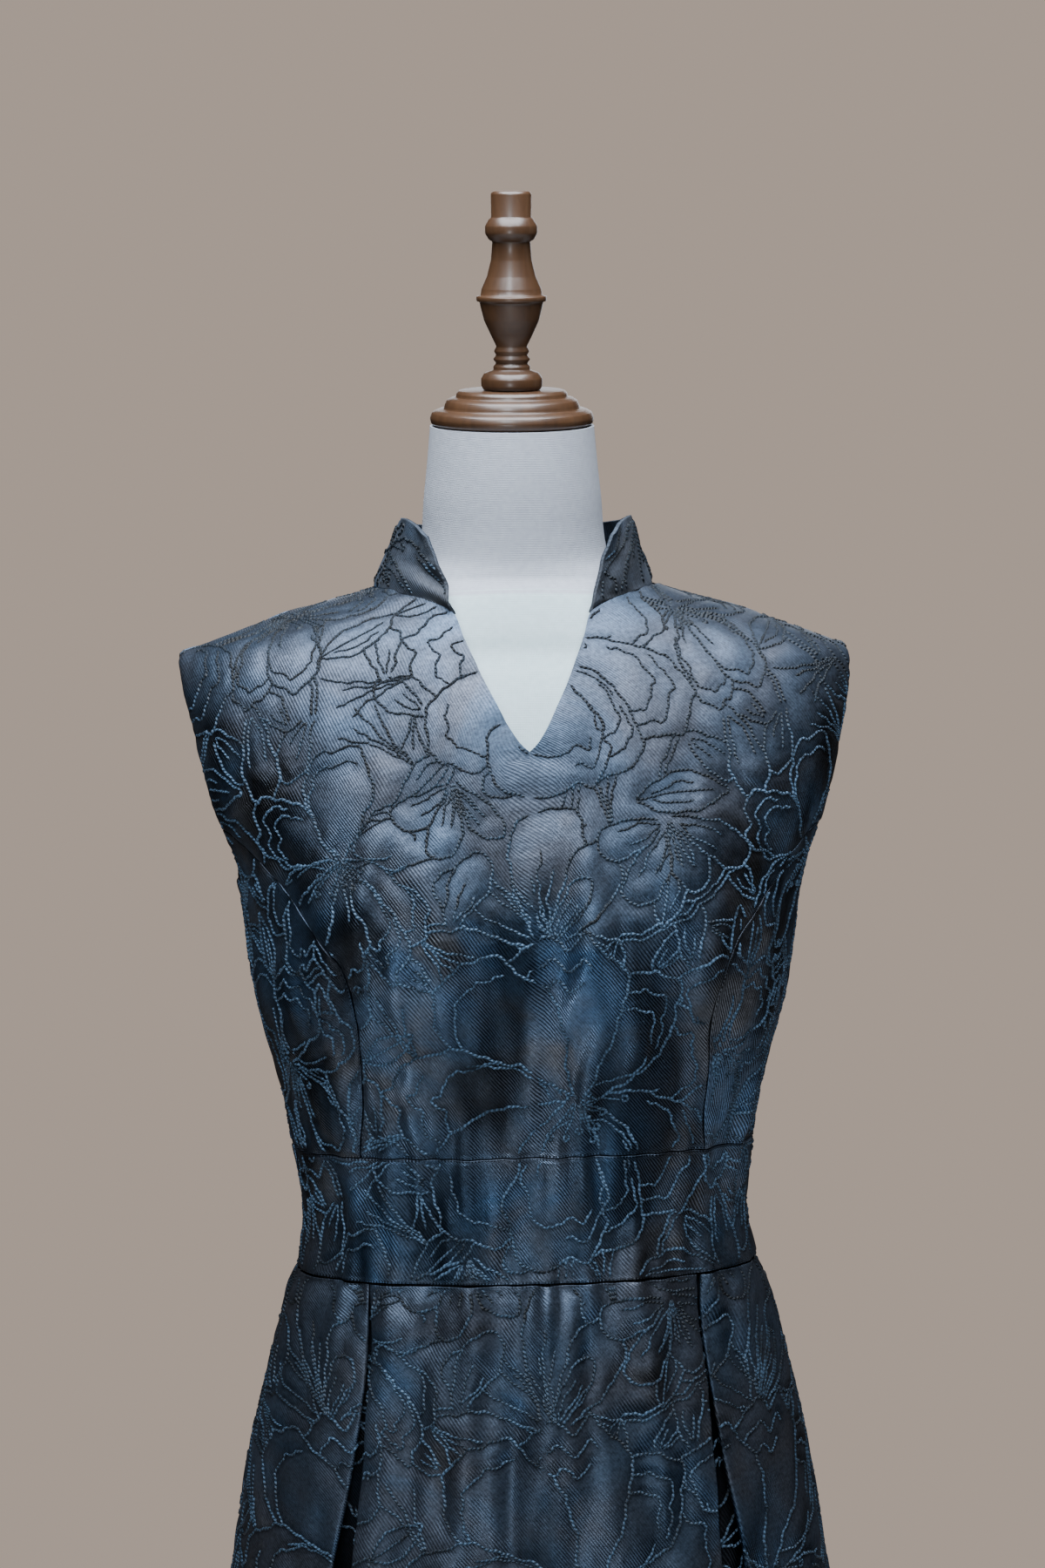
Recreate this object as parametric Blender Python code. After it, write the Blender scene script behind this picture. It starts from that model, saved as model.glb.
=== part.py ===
"""A sleeveless a-line dress of floral jacquard, worn by a limbless dress form on a turned wooden stand.

Metres, +Z up. The origin is the middle of the stand's underside, on the floor. The dress faces -Y, and +X is
the right-hand side of someone who looks at its front.
"""

import math

import bmesh
import bpy
import numpy as np
from mathutils import Matrix, Vector

# Driving heights of the dress
HEM_HEIGHT = 0.450
WAISTBAND_BOTTOM = 0.999
WAISTBAND_TOP = 1.072
UNDERARM_HEIGHT = 1.233
SHOULDER_TIP_HEIGHT = 1.3686
NECKLINE_HEIGHT = 1.407
NECK_POINT_HALF_WIDTH = 0.084

# Walls and the gaps that sewn pieces keep
CLOTH_THICKNESS = 0.0013
SKIRT_THICKNESS = 0.0012
COLLAR_THICKNESS = 0.0022
SEAM_HALF_GAP = 0.0002
LAYER_GAP = 0.0006

# Outside of the dress, one row for each level: height, half width, depth in front of the side seam,
# depth behind it, and squareness (2 is an ellipse)
DRESS_SECTIONS = (
    (0.4500, 0.2400, 0.1880, 0.1880, 2.10),
    (0.5800, 0.2180, 0.1690, 0.1690, 2.10),
    (0.7000, 0.1980, 0.1520, 0.1520, 2.10),
    (0.8100, 0.1800, 0.1360, 0.1370, 2.15),
    (0.8550, 0.1730, 0.1290, 0.1300, 2.15),
    (0.8950, 0.1660, 0.1230, 0.1230, 2.15),
    (0.9300, 0.1580, 0.1170, 0.1150, 2.20),
    (0.9600, 0.1500, 0.1110, 0.1060, 2.20),
    (0.9850, 0.1430, 0.1055, 0.0960, 2.20),
    (0.9990, 0.1370, 0.1015, 0.0880, 2.20),
    (1.0300, 0.1325, 0.0990, 0.0840, 2.20),
    (1.0720, 0.1380, 0.1020, 0.0850, 2.20),
    (1.1200, 0.1480, 0.1090, 0.0900, 2.30),
    (1.1600, 0.1570, 0.1170, 0.0970, 2.40),
    (1.2000, 0.1625, 0.1240, 0.1030, 2.50),
    (1.2400, 0.1700, 0.1220, 0.1080, 2.65),
    (1.2800, 0.1870, 0.1140, 0.1085, 2.85),
    (1.3200, 0.1965, 0.1030, 0.1050, 2.90),
    (1.3500, 0.2015, 0.0900, 0.0990, 2.70),
    (1.3686, 0.2015, 0.0810, 0.0930, 2.40),
    (1.3730, 0.1880, 0.0785, 0.0910, 2.25),
    (1.3805, 0.1670, 0.0745, 0.0880, 2.10),
    (1.3910, 0.1400, 0.0700, 0.0830, 2.00),
    (1.3990, 0.1110, 0.0660, 0.0790, 2.00),
    (1.4070, 0.0840, 0.0620, 0.0750, 2.00),
    (1.4150, 0.0720, 0.0590, 0.0700, 2.00),
)

# Bust of the cut: place, spread and fullness of each side
BUST_X = 0.088
BUST_HEIGHT = 1.192
BUST_SPREAD = 0.046
BUST_FULLNESS = 0.017

# Princess seam, from the waistband up to the armhole: distance from the centre front, and height
PRINCESS_SEAM = (
    (0.0990, 1.0720),
    (0.0985, 1.1000),
    (0.1000, 1.1315),
    (0.1032, 1.1590),
    (0.1096, 1.1810),
    (0.1162, 1.1930),
    (0.1300, 1.2130),
    (0.1450, 1.2340),
    (0.1600, 1.2510),
    (0.1740, 1.2640),
)

# Armhole edge: share of the way round from the centre front (0.5 is the side seam), and height. The back
# edge mirrors the front one.
ARMHOLE_EDGE = (
    (0.500, 1.2330),
    (0.470, 1.2362),
    (0.444, 1.2450),
    (0.424, 1.2640),
    (0.414, 1.2920),
    (0.420, 1.3200),
    (0.440, 1.3450),
    (0.470, 1.3610),
    (0.500, 1.3686),
)
PRINCESS_TOP_SHARE = 0.424

# Front neckline, from the tip of the V up and round under the collar: distance from the centre, and height
NECKLINE = (
    (0.0000, 1.3050),
    (0.0040, 1.3085),
    (0.0100, 1.3170),
    (0.0172, 1.3310),
    (0.0240, 1.3450),
    (0.0295, 1.3585),
    (0.0350, 1.3720),
    (0.0400, 1.3865),
    (0.0560, 1.3950),
    (0.0700, 1.4000),
    (0.0790, 1.4035),
)
COLLAR_END_X = 0.0400

# Stand collar, from its front end to the centre back: share of the way, height of its top edge above its
# foot, and how far it leans in. Its front edge slants back by COLLAR_SLANT of the way
COLLAR_RISE = (
    (0.00, 0.0385, 0.0010),
    (0.12, 0.0440, 0.0080),
    (0.35, 0.0405, 0.0165),
    (0.70, 0.0410, 0.0165),
    (1.00, 0.0420, 0.0150),
)
COLLAR_SLANT = 0.085
COLLAR_FOOT_GAP = 0.0005

# Inverted pleats of the skirt, one row for each level: height, where the inner fold edge lies from the
# centre, the opening between the two fold edges, the depth of each return, and the spacing of the layers
PLEAT_LEVELS = (
    (0.450, 0.1260, 0.0420, 0.046, 0.0095),
    (0.580, 0.1170, 0.0300, 0.045, 0.0075),
    (0.700, 0.1100, 0.0190, 0.043, 0.0058),
    (0.810, 0.1040, 0.0105, 0.041, 0.0042),
    (0.880, 0.1000, 0.0058, 0.039, 0.0032),
    (0.930, 0.0975, 0.0032, 0.037, 0.0025),
    (0.999, 0.0950, 0.0018, 0.034, 0.0018),
)
# Soft flutes of the skirt, full at the hem: share of the way round, width in shares, and depth
SKIRT_FLUTES = ((0.00, 0.10, 0.004), (0.335, 0.060, 0.011), (0.425, 0.035, -0.005), (0.665, 0.060, 0.011), (0.575, 0.035, -0.005), (1.00, 0.10, 0.004))

# Dress form inside the dress: height, and how far its side, and its front and back, lie under the dress's outside
FORM_EASE = (
    (0.7400, 0.0600, 0.0500),
    (0.7424, 0.0480, 0.0390),
    (0.7500, 0.0380, 0.0310),
    (0.7700, 0.0300, 0.0262),
    (0.8200, 0.0230, 0.0225),
    (0.8800, 0.0160, 0.0180),
    (0.9300, 0.0140, 0.0150),
    (0.9700, 0.0130, 0.0120),
    (0.9990, 0.0100, 0.0095),
    (1.0300, 0.0060, 0.0060),
    (1.0720, 0.0060, 0.0055),
    (1.1400, 0.0060, 0.0050),
    (1.2000, 0.0070, 0.0045),
    (1.2400, 0.0100, 0.0040),
    (1.2800, 0.0140, 0.0038),
    (1.3200, 0.0140, 0.0040),
    (1.3500, 0.0135, 0.0058),
    (1.3620, 0.0115, 0.0078),
    (1.3690, 0.0086, 0.0078),
    (1.3770, 0.0046, 0.0054),
    (1.3900, 0.0032, 0.0043),
    (1.4050, 0.0028, 0.0043),
)
# Neck of the form: height, half width, depth in front and behind, and forward tilt in degrees
NECK_SECTIONS = (
    (1.4070, 0.0770, 0.0545, 0.0660, 0.0),
    (1.4130, 0.0675, 0.0530, 0.0625, 1.0),
    (1.4230, 0.0590, 0.0525, 0.0590, 3.0),
    (1.4400, 0.0555, 0.0540, 0.0555, 6.0),
    (1.4600, 0.0540, 0.0565, 0.0510, 9.0),
    (1.4800, 0.0518, 0.0585, 0.0460, 11.0),
    (1.5040, 0.0496, 0.0600, 0.0394, 12.0),
)
FORM_SEGMENTS = 32

# Turned wood, each a list of height above its foot and radius
CAP_PROFILE = (
    (0.0000, 0.0470),
    (0.0015, 0.0490),
    (0.0045, 0.0496),
    (0.0078, 0.0484),
    (0.0095, 0.0455),
    (0.0100, 0.0412),
    (0.0120, 0.0408),
    (0.0150, 0.0395),
    (0.0166, 0.0368),
    (0.0170, 0.0338),
    (0.0192, 0.0335),
    (0.0210, 0.0318),
)
FINIAL_PROFILE = (
    (0.0000, 0.0172),
    (0.0024, 0.0185),
    (0.0067, 0.0186),
    (0.0101, 0.0165),
    (0.0119, 0.0110),
    (0.0139, 0.0112),
    (0.0159, 0.0094),
    (0.0183, 0.0113),
    (0.0207, 0.0094),
    (0.0231, 0.0108),
    (0.0258, 0.0092),
    (0.0332, 0.0128),
    (0.0414, 0.0166),
    (0.0500, 0.0188),
    (0.0524, 0.0192),
    (0.0529, 0.0211),
    (0.0558, 0.0211),
    (0.0564, 0.0186),
    (0.0601, 0.0180),
    (0.0673, 0.0148),
    (0.0770, 0.0123),
    (0.0880, 0.0114),
    (0.0890, 0.0134),
    (0.0928, 0.0157),
    (0.0972, 0.0157),
    (0.1015, 0.0132),
    (0.1022, 0.0120),
    (0.1159, 0.0122),
    (0.1176, 0.0110),
)
POLE_PROFILE = (
    (0.0000, 0.0150),
    (0.0150, 0.0215),
    (0.0300, 0.0170),
    (0.0600, 0.0150),
    (0.5600, 0.0150),
    (0.6000, 0.0200),
    (0.6200, 0.0150),
)
BASE_PROFILE = (
    (0.0000, 0.1900),
    (0.0120, 0.1900),
    (0.0180, 0.1840),
    (0.0190, 0.1620),
    (0.0260, 0.1600),
    (0.0300, 0.1540),
    (0.0340, 0.0560),
    (0.0460, 0.0480),
)
PLATE_RADIUS = 0.052
PLATE_THICKNESS = 0.012
SEAT_GAP = 0.0003
CAP_SEGMENTS = 28
FINIAL_SEGMENTS = 16
POLE_SEGMENTS = 14
BASE_SEGMENTS = 32

# Colour, roughness and metallic value of each material
MATERIALS = {
    "jacquard": ((0.030, 0.050, 0.090), 0.45, 0.0),
    "linen": ((0.780, 0.770, 0.740), 0.85, 0.0),
    "walnut": ((0.150, 0.075, 0.040), 0.40, 0.0),
}


def smooth(table, column):
    """A smooth function through one column of a table whose first column rises, with no overshoot."""
    xs = np.array([row[0] for row in table], float)
    ys = np.array([row[column] for row in table], float)
    steps = np.diff(xs)
    slopes = np.diff(ys) / steps
    tangents = np.empty_like(ys)
    tangents[0], tangents[-1] = slopes[0], slopes[-1]
    before, after = slopes[:-1], slopes[1:]
    same_way = before * after > 0
    safe = np.where(same_way, before + after, 1.0)
    tangents[1:-1] = np.where(same_way, 2 * before * after / safe, 0.0)

    def value(x):
        x = np.clip(np.asarray(x, float), xs[0], xs[-1])
        i = np.clip(np.searchsorted(xs, x) - 1, 0, len(xs) - 2)
        t = (x - xs[i]) / steps[i]
        rise = ys[i] * (1 + 2 * t) * (1 - t) ** 2 + ys[i + 1] * t * t * (3 - 2 * t)
        bend = tangents[i] * t * (1 - t) ** 2 - tangents[i + 1] * t * t * (1 - t)
        return rise + steps[i] * bend

    return value


half_width_at = smooth(DRESS_SECTIONS, 1)
front_depth_at = smooth(DRESS_SECTIONS, 2)
back_depth_at = smooth(DRESS_SECTIONS, 3)
squareness_at = smooth(DRESS_SECTIONS, 4)


def bust(x, height):
    """How far the cut stands forward over the bust."""
    spread = 2 * BUST_SPREAD**2
    sides = [np.exp(-((x - side * BUST_X) ** 2 + (height - BUST_HEIGHT) ** 2) / spread) for side in (-1, 1)]
    return BUST_FULLNESS * (sides[0] + sides[1])


def flutes(share, height):
    """How far the skirt's soft flutes stand out."""
    fall = np.clip((WAISTBAND_BOTTOM - height) / (WAISTBAND_BOTTOM - HEM_HEIGHT), 0, 1)
    around = np.abs(share)
    return fall**1.5 * sum(depth * np.exp(-(((around - place) / width) ** 2)) for place, width, depth in SKIRT_FLUTES)


def outside(share, height):
    """The outside of the dress. share runs from 0 at the centre front, 0.5 at the side seam, to 1 at the back,
    and is negative on the -X side."""
    share, height = np.broadcast_arrays(np.asarray(share, float), np.asarray(height, float))
    angle = math.pi * share
    power = 2 / squareness_at(height)
    sine, cosine = np.sin(angle), np.cos(angle)
    out = flutes(share, height)
    x = (half_width_at(height) + out) * np.sign(sine) * np.abs(sine) ** power
    depth = np.where(cosine > 0, front_depth_at(height), back_depth_at(height)) + out
    y = -depth * np.sign(cosine) * np.where(np.abs(cosine) < 1e-9, 0, np.abs(cosine)) ** power
    y = y - bust(x, height) * np.clip(cosine * 3, 0, 1)
    return np.stack([x, y, height], axis=-1)


def outward(share, height):
    """Unit normals of the outside of the dress."""
    step = 1e-4
    around = outside(share + step, height) - outside(share - step, height)
    up = outside(share, height + step) - outside(share, height - step)
    normal = np.cross(around, up)
    return normal / np.linalg.norm(normal, axis=-1, keepdims=True)


def share_at(x, height):
    """The share of the way round at which the front has this distance from the centre."""
    ratio = np.clip(np.asarray(x, float) / half_width_at(height), 0, 1)
    return np.arcsin(ratio ** (squareness_at(height) / 2)) / math.pi


SIDE_HEIGHTS = np.linspace(HEM_HEIGHT, 1.415, 3000)
SIDE_LENGTHS = np.concatenate(
    [[0], np.cumsum(np.hypot(np.diff(SIDE_HEIGHTS), np.diff(half_width_at(SIDE_HEIGHTS))))]
)


def length_at(height):
    """Length along the side and shoulder, which spaces rows evenly over the shoulder."""
    return np.interp(height, SIDE_HEIGHTS, SIDE_LENGTHS)


def height_of(length):
    return np.interp(length, SIDE_LENGTHS, SIDE_HEIGHTS)


def flat(points):
    """Rows of share and height as rows of share and length."""
    points = np.asarray(points, float)
    return np.stack([points[:, 0], length_at(points[:, 1])], axis=1)


def resample(points, counts, corners=()):
    """Evenly spaced points along a polyline, with a point at each corner. counts gives the steps between corners."""
    points = np.asarray(points, float)
    stops = [0, *corners, len(points) - 1]
    made = []
    for first, last, count in zip(stops[:-1], stops[1:], counts):
        piece = points[first : last + 1]
        scaled = piece * (0.45, 1.0)
        travel = np.concatenate([[0], np.cumsum(np.linalg.norm(np.diff(scaled, axis=0), axis=1))])
        at = np.linspace(0, travel[-1], count + 1)
        column = np.stack([np.interp(at, travel, piece[:, k]) for k in range(2)], axis=1)
        made.append(column if not made else column[1:])
    return np.concatenate(made)


def dense(table, count=60):
    """A smooth curve through a table's two columns, read along its length."""
    rows = np.array(table, float)
    travel = np.concatenate([[0], np.cumsum(np.linalg.norm(np.diff(rows, axis=0), axis=1))])
    keyed = [(t, *row) for t, row in zip(travel, rows)]
    at = np.linspace(0, travel[-1], count)
    return np.stack([smooth(keyed, 1)(at), smooth(keyed, 2)(at)], axis=1)


def coons(bottom, top, left, right):
    """Points that fill a four-sided outline, rows from bottom to top."""
    s = np.linspace(0, 1, len(bottom))[None, :, None]
    t = np.linspace(0, 1, len(left))[:, None, None]
    bottom, top, left, right = bottom[None], top[None], left[:, None], right[:, None]
    ruled = (1 - t) * bottom + t * top + (1 - s) * left + s * right
    corners = (1 - t) * ((1 - s) * bottom[:, :1] + s * bottom[:, -1:]) + t * (
        (1 - s) * top[:, :1] + s * top[:, -1:]
    )
    return relaxed(ruled - corners)


def relaxed(grid):
    """Moves the inner points of a grid until its lines run smoothly between the edges, without folding."""
    p = grid * (0.45, 1.0)
    for _ in range(400):
        across = (p[1:-1, 2:] - p[1:-1, :-2]) / 2
        up = (p[2:, 1:-1] - p[:-2, 1:-1]) / 2
        a = (up**2).sum(-1, keepdims=True)
        b = (across * up).sum(-1, keepdims=True)
        c = (across**2).sum(-1, keepdims=True)
        twist = (p[2:, 2:] - p[2:, :-2] - p[:-2, 2:] + p[:-2, :-2]) / 4
        sides = a * (p[1:-1, 2:] + p[1:-1, :-2]) + c * (p[2:, 1:-1] + p[:-2, 1:-1])
        p[1:-1, 1:-1] = (sides - 2 * b * twist) / (2 * (a + c))
    return p / (0.45, 1.0)


def drawn_in(grid, gap):
    """A grid of points whose four edges are drawn in along the surface by a gap."""
    grid = grid.copy()
    for axis in (0, 1):
        rows = np.swapaxes(grid, 0, axis)
        for edge, inner in ((0, 1), (-1, -2)):
            along = np.gradient(rows[edge], axis=0)
            along /= np.linalg.norm(along, axis=1, keepdims=True)
            inward = rows[inner] - rows[edge]
            inward -= (inward * along).sum(1, keepdims=True) * along
            rows[edge] += gap * inward / np.linalg.norm(inward, axis=1, keepdims=True)
    return grid


def material(name):
    found = bpy.data.materials.get(name)
    if found:
        return found
    colour, roughness, metallic = MATERIALS[name]
    found = bpy.data.materials.new(name)
    found.use_nodes = True
    shader = found.node_tree.nodes["Principled BSDF"]
    shader.inputs["Base Color"].default_value = (*colour, 1)
    shader.inputs["Roughness"].default_value = roughness
    shader.inputs["Metallic"].default_value = metallic
    found.diffuse_color = (*colour, 1)
    return found


def add_object(name, vertices, faces, material_name):
    """A closed body with its faces pointing out, shaded smooth up to an edge of 40 degrees."""
    mesh = bpy.data.meshes.new(name)
    mesh.from_pydata([tuple(v) for v in vertices], [], [tuple(f) for f in faces])
    body = bmesh.new()
    body.from_mesh(mesh)
    bmesh.ops.recalc_face_normals(body, faces=body.faces)
    body.to_mesh(mesh)
    body.free()
    mesh.materials.append(material(material_name))
    mesh.shade_smooth()
    mesh.set_sharp_from_angle(angle=math.radians(40))
    made = bpy.data.objects.new(name, mesh)
    bpy.context.scene.collection.objects.link(made)
    return made


def wall(name, material_name, *sheets):
    """A closed wall between the outer and the inner points of each sheet. Sheets join at equal points."""
    first = {}
    outside_points, inside_points, quads = [], [], []
    for outer, inner in sheets:
        rows, columns = outer.shape[:2]
        number = []
        for one, two in zip(outer.reshape(-1, 3), inner.reshape(-1, 3)):
            key = tuple(np.round(one, 7))
            if key not in first:
                first[key] = len(first)
                outside_points.append(one)
                inside_points.append(two)
            number.append(first[key])
        for i in range(rows - 1):
            for j in range(columns - 1):
                a = i * columns + j
                quads.append(tuple(number[k] for k in (a, a + 1, a + columns + 1, a + columns)))
    count = len(first)
    edges = {(a, b) for quad in quads for a, b in zip(quad, quad[1:] + quad[:1])}
    rim = [(a, a + count, b + count, b) for a, b in sorted(edges) if (b, a) not in edges]
    faces = quads + [tuple(count + k for k in reversed(quad)) for quad in quads] + rim
    return add_object(name, outside_points + inside_points, faces, material_name)


def faces_of(grid):
    """Outer and inner points of a cloth piece from a grid of share and length, drawn in at its edges."""
    share, height = grid[..., 0], height_of(grid[..., 1])
    outer = outside(share, height)
    inner = outer - CLOTH_THICKNESS * outward(share, height)
    faces = drawn_in(outer, SEAM_HALF_GAP), drawn_in(inner, SEAM_HALF_GAP)
    for points in faces:
        points[np.abs(share) == 1, 0] = SEAM_HALF_GAP * np.sign(share.sum())
    return faces


def panel(name, grid):
    """A bodice or waistband piece."""
    wall(name, "jacquard", faces_of(grid))


def panel_on_fold(name, grid):
    """A piece cut on the fold: a half and its mirror image, joined up to the tip of the V."""
    outer, inner = faces_of(grid)
    for points in (outer, inner):
        points[: CENTRE_FRONT_STEPS + 1, 0, 0] = 0
    flip = (-1, 1, 1)
    wall(name, "jacquard", (outer, inner), (outer[:, ::-1] * flip, inner[:, ::-1] * flip))


def mirrored(grid):
    """The same piece on the other side."""
    return grid[:, ::-1] * (-1, 1)


def princess_curve():
    rows = dense(PRINCESS_SEAM)
    points = np.stack([share_at(rows[:, 0], rows[:, 1]), rows[:, 1]], axis=1)
    points[-1] = armhole_split()
    return flat(points)


def armhole_split():
    """Where the princess seam runs into the armhole."""
    return [row for row in ARMHOLE_EDGE if row[0] == PRINCESS_TOP_SHARE][0]


def armhole_curve():
    return flat(dense(ARMHOLE_EDGE))


def split_index(curve):
    """The point of the armhole curve at the princess seam's top."""
    target = flat([armhole_split()])[0]
    return int(np.argmin(np.abs(curve[: len(curve) // 2, 1] - target[1])))


PRINCESS_STEPS = 11
ARMHOLE_STEPS_ABOVE = 9
ARMHOLE_STEPS_BELOW = 4
SHOULDER_STEPS = 7
CENTRE_FRONT_STEPS = 10
V_STEPS = 6
FRONT_NECK_STEPS = 4
BACK_SIDE_STEPS = 8
BACK_ARMHOLE_STEPS = 9
BACK_NECK_STEPS = 4


def neckline_curve():
    """From the tip of the V up to the shoulder seam, and the index of the point where the collar ends."""
    rows = dense(NECKLINE)
    points = np.stack([share_at(rows[:, 0], rows[:, 1]), rows[:, 1]], axis=1)
    end = int(np.argmin(np.abs(rows[:, 0] - COLLAR_END_X)))
    return flat(np.vstack([points, [0.5, NECKLINE_HEIGHT]])), end


def build_bodice_front():
    """The +X half of the centre front: waist, princess seam and armhole, shoulder, neckline, centre."""
    princess = resample(princess_curve(), [PRINCESS_STEPS])
    arm = armhole_curve()
    upper = resample(arm[split_index(arm) :], [ARMHOLE_STEPS_ABOVE])
    upper[0] = princess[-1]
    right = np.vstack([princess, upper[1:]])
    shoulder = flat([(0.5, NECKLINE_HEIGHT), (0.5, SHOULDER_TIP_HEIGHT)])
    neckline, end = neckline_curve()
    centre = resample(np.array([[0, length_at(WAISTBAND_TOP)], neckline[0]]), [CENTRE_FRONT_STEPS])
    neck = resample(neckline, [V_STEPS, FRONT_NECK_STEPS], [end])
    left = np.vstack([centre, neck[1:]])
    bottom = np.linspace(left[0], right[0], SHOULDER_STEPS + 1)
    return coons(bottom, resample(shoulder, [SHOULDER_STEPS]), left, right)


def build_side_front():
    """The side front of the +X side, between the princess seam and the side seam."""
    princess = resample(princess_curve(), [PRINCESS_STEPS])
    arm = armhole_curve()
    top = resample(arm[: split_index(arm) + 1][::-1], [ARMHOLE_STEPS_BELOW + 1])
    top[0] = princess[-1]
    side = resample(flat([(0.5, WAISTBAND_TOP), (0.5, UNDERARM_HEIGHT)]), [PRINCESS_STEPS])
    bottom = np.linspace(princess[0], side[0], len(top))
    return coons(bottom, top, princess, side)


def build_back():
    """The back of the +X side, from the side seam and armhole to the centre back and neckline."""
    arm = armhole_curve() * (-1, 1) + (1, 0)
    side = resample(flat([(0.5, WAISTBAND_TOP), (0.5, UNDERARM_HEIGHT)]), [BACK_SIDE_STEPS])
    left = np.vstack([side, resample(arm, [BACK_ARMHOLE_STEPS])[1:]])
    shoulder = flat([(0.5, SHOULDER_TIP_HEIGHT), (0.5, NECKLINE_HEIGHT)])
    centre = flat([(1.0, WAISTBAND_TOP), (1.0, NECKLINE_HEIGHT)])
    neck = flat([(1.0 - 0.05 * k, NECKLINE_HEIGHT) for k in range(1, 11)])
    steps = BACK_SIDE_STEPS + BACK_ARMHOLE_STEPS
    right = resample(np.vstack([centre, neck]), [steps - BACK_NECK_STEPS, BACK_NECK_STEPS], [1])
    bottom = np.linspace(left[0], right[0], SHOULDER_STEPS + 1)
    return coons(bottom, resample(shoulder, [SHOULDER_STEPS]), left, right)


def build_waistband(first, last, steps):
    low, high = flat([(0, WAISTBAND_BOTTOM), (0, WAISTBAND_TOP)])[:, 1]
    share, length = np.meshgrid(np.linspace(first, last, steps + 1), np.linspace(low, high, 4))
    return np.stack([share, length], axis=-1)


COLLAR_STEPS = 12
COLLAR_ROWS = 4
collar_rise_at = smooth(COLLAR_RISE, 1)
collar_lean_at = smooth(COLLAR_RISE, 2)


def collar_foot():
    """The neckline under the collar on the +X side, from its front end to the centre back, in space."""
    neckline, end = neckline_curve()
    back = flat([(0.5 + 0.5 * k / 20, NECKLINE_HEIGHT) for k in range(1, 21)])
    line = np.vstack([neckline[end:], back])
    points = outside(line[:, 0], height_of(line[:, 1]))
    travel = np.concatenate([[0], np.cumsum(np.linalg.norm(np.diff(points, axis=0), axis=1))])

    def foot(at):
        return np.stack([np.interp(at * travel[-1], travel, points[:, k]) for k in range(3)], axis=1)

    return foot


def build_collar(side):
    """Half of the stand collar. It rises from the neckline, leans in, and its front edge slants back."""
    foot_at = collar_foot()
    middle = []
    for row in np.linspace(0, 1, COLLAR_ROWS):
        start = COLLAR_SLANT * row
        at = start + (1 - start) * np.linspace(0, 1, COLLAR_STEPS + 1)
        foot = foot_at(at)
        inward = -foot * (1, 1, 0)
        inward /= np.linalg.norm(inward, axis=1, keepdims=True)
        share = (at - start) / (1 - start)
        lean = collar_lean_at(share) * row**1.3
        lift = COLLAR_FOOT_GAP + collar_rise_at(share) * row
        middle.append(foot + inward * lean[:, None] + np.array([0, 0, 1.0]) * lift[:, None])
    middle = np.array(middle)
    middle[:, -1, 0] = SEAM_HALF_GAP
    normal = np.cross(np.gradient(middle, axis=1), np.gradient(middle, axis=0))
    normal[:, -1, 0] = 0
    normal /= np.linalg.norm(normal, axis=-1, keepdims=True)
    outer = middle + normal * COLLAR_THICKNESS / 2
    inner = middle - normal * COLLAR_THICKNESS / 2
    flip = (side, 1, 1)
    return outer * flip, inner * flip


SKIRT_LEVELS = (0.450, 0.505, 0.565, 0.630, 0.695, 0.760, 0.815, 0.865, 0.910, 0.945, 0.975, 0.9986)
HAIRPIN_TURNS = 2
PANEL_STEPS = 6
CENTRE_STEPS = 4
pleat_edge_at = smooth(PLEAT_LEVELS, 1)
pleat_opening_at = smooth(PLEAT_LEVELS, 2)
pleat_depth_at = smooth(PLEAT_LEVELS, 3)
pleat_spacing_at = smooth(PLEAT_LEVELS, 4)


def hairpin(place, depth, heading, deeper):
    """Points of a half turn. heading is +1 when the cloth runs away from the centre, deeper +1 when it turns in."""
    radius = abs(deeper) / 2
    turn = np.linspace(0, math.pi, HAIRPIN_TURNS + 1)
    return np.stack([place + heading * radius * np.sin(turn), depth + deeper / 2 * (1 - np.cos(turn))], axis=1)


def pleat_path(height, start, length):
    """Half of a skirt section, from the centre to the side seam: distance along the section, and depth."""
    edge, opening = float(pleat_edge_at(height)), float(pleat_opening_at(height))
    depth, spacing = float(pleat_depth_at(height)), float(pleat_spacing_at(height))
    edge = float(np.interp(edge, *section_reach(height, start > 0)))
    turn = spacing / 2
    far = edge + opening
    pins = [
        hairpin(edge - turn, 0, 1, spacing),
        hairpin(edge - depth, spacing, -1, spacing),
        hairpin(far + depth, 2 * spacing, 1, -spacing),
        hairpin(far + turn, spacing, -1, -spacing),
    ]
    layers = [0.5 * (pins[1][-1] + pins[2][0])]
    centre = np.stack([np.linspace(start, edge - turn, CENTRE_STEPS + 1), np.zeros(CENTRE_STEPS + 1)], axis=1)[:-1]
    side = np.stack([np.linspace(far + turn, length, PANEL_STEPS + 1), np.zeros(PANEL_STEPS + 1)], axis=1)[1:]
    return np.vstack([centre, pins[0], pins[1], *[row[None] for row in layers], pins[2], pins[3], side])


def section_line(height, back):
    """A dense half section from the centre to the side seam: points, inward normals and distances."""
    share = np.linspace(0, 0.5, 160)
    share = 1 - share if back else share
    points = outside(share, np.full(160, height))[:, :2]
    travel = np.concatenate([[0], np.cumsum(np.linalg.norm(np.diff(points, axis=0), axis=1))])
    along = np.gradient(points, axis=0)
    along /= np.linalg.norm(along, axis=1, keepdims=True)
    inward = np.stack([-along[:, 1], along[:, 0]], axis=1)
    return points, inward * (-1 if back else 1), travel


def section_reach(height, back):
    points, _, travel = section_line(height, back)
    return points[:, 0], travel


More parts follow.
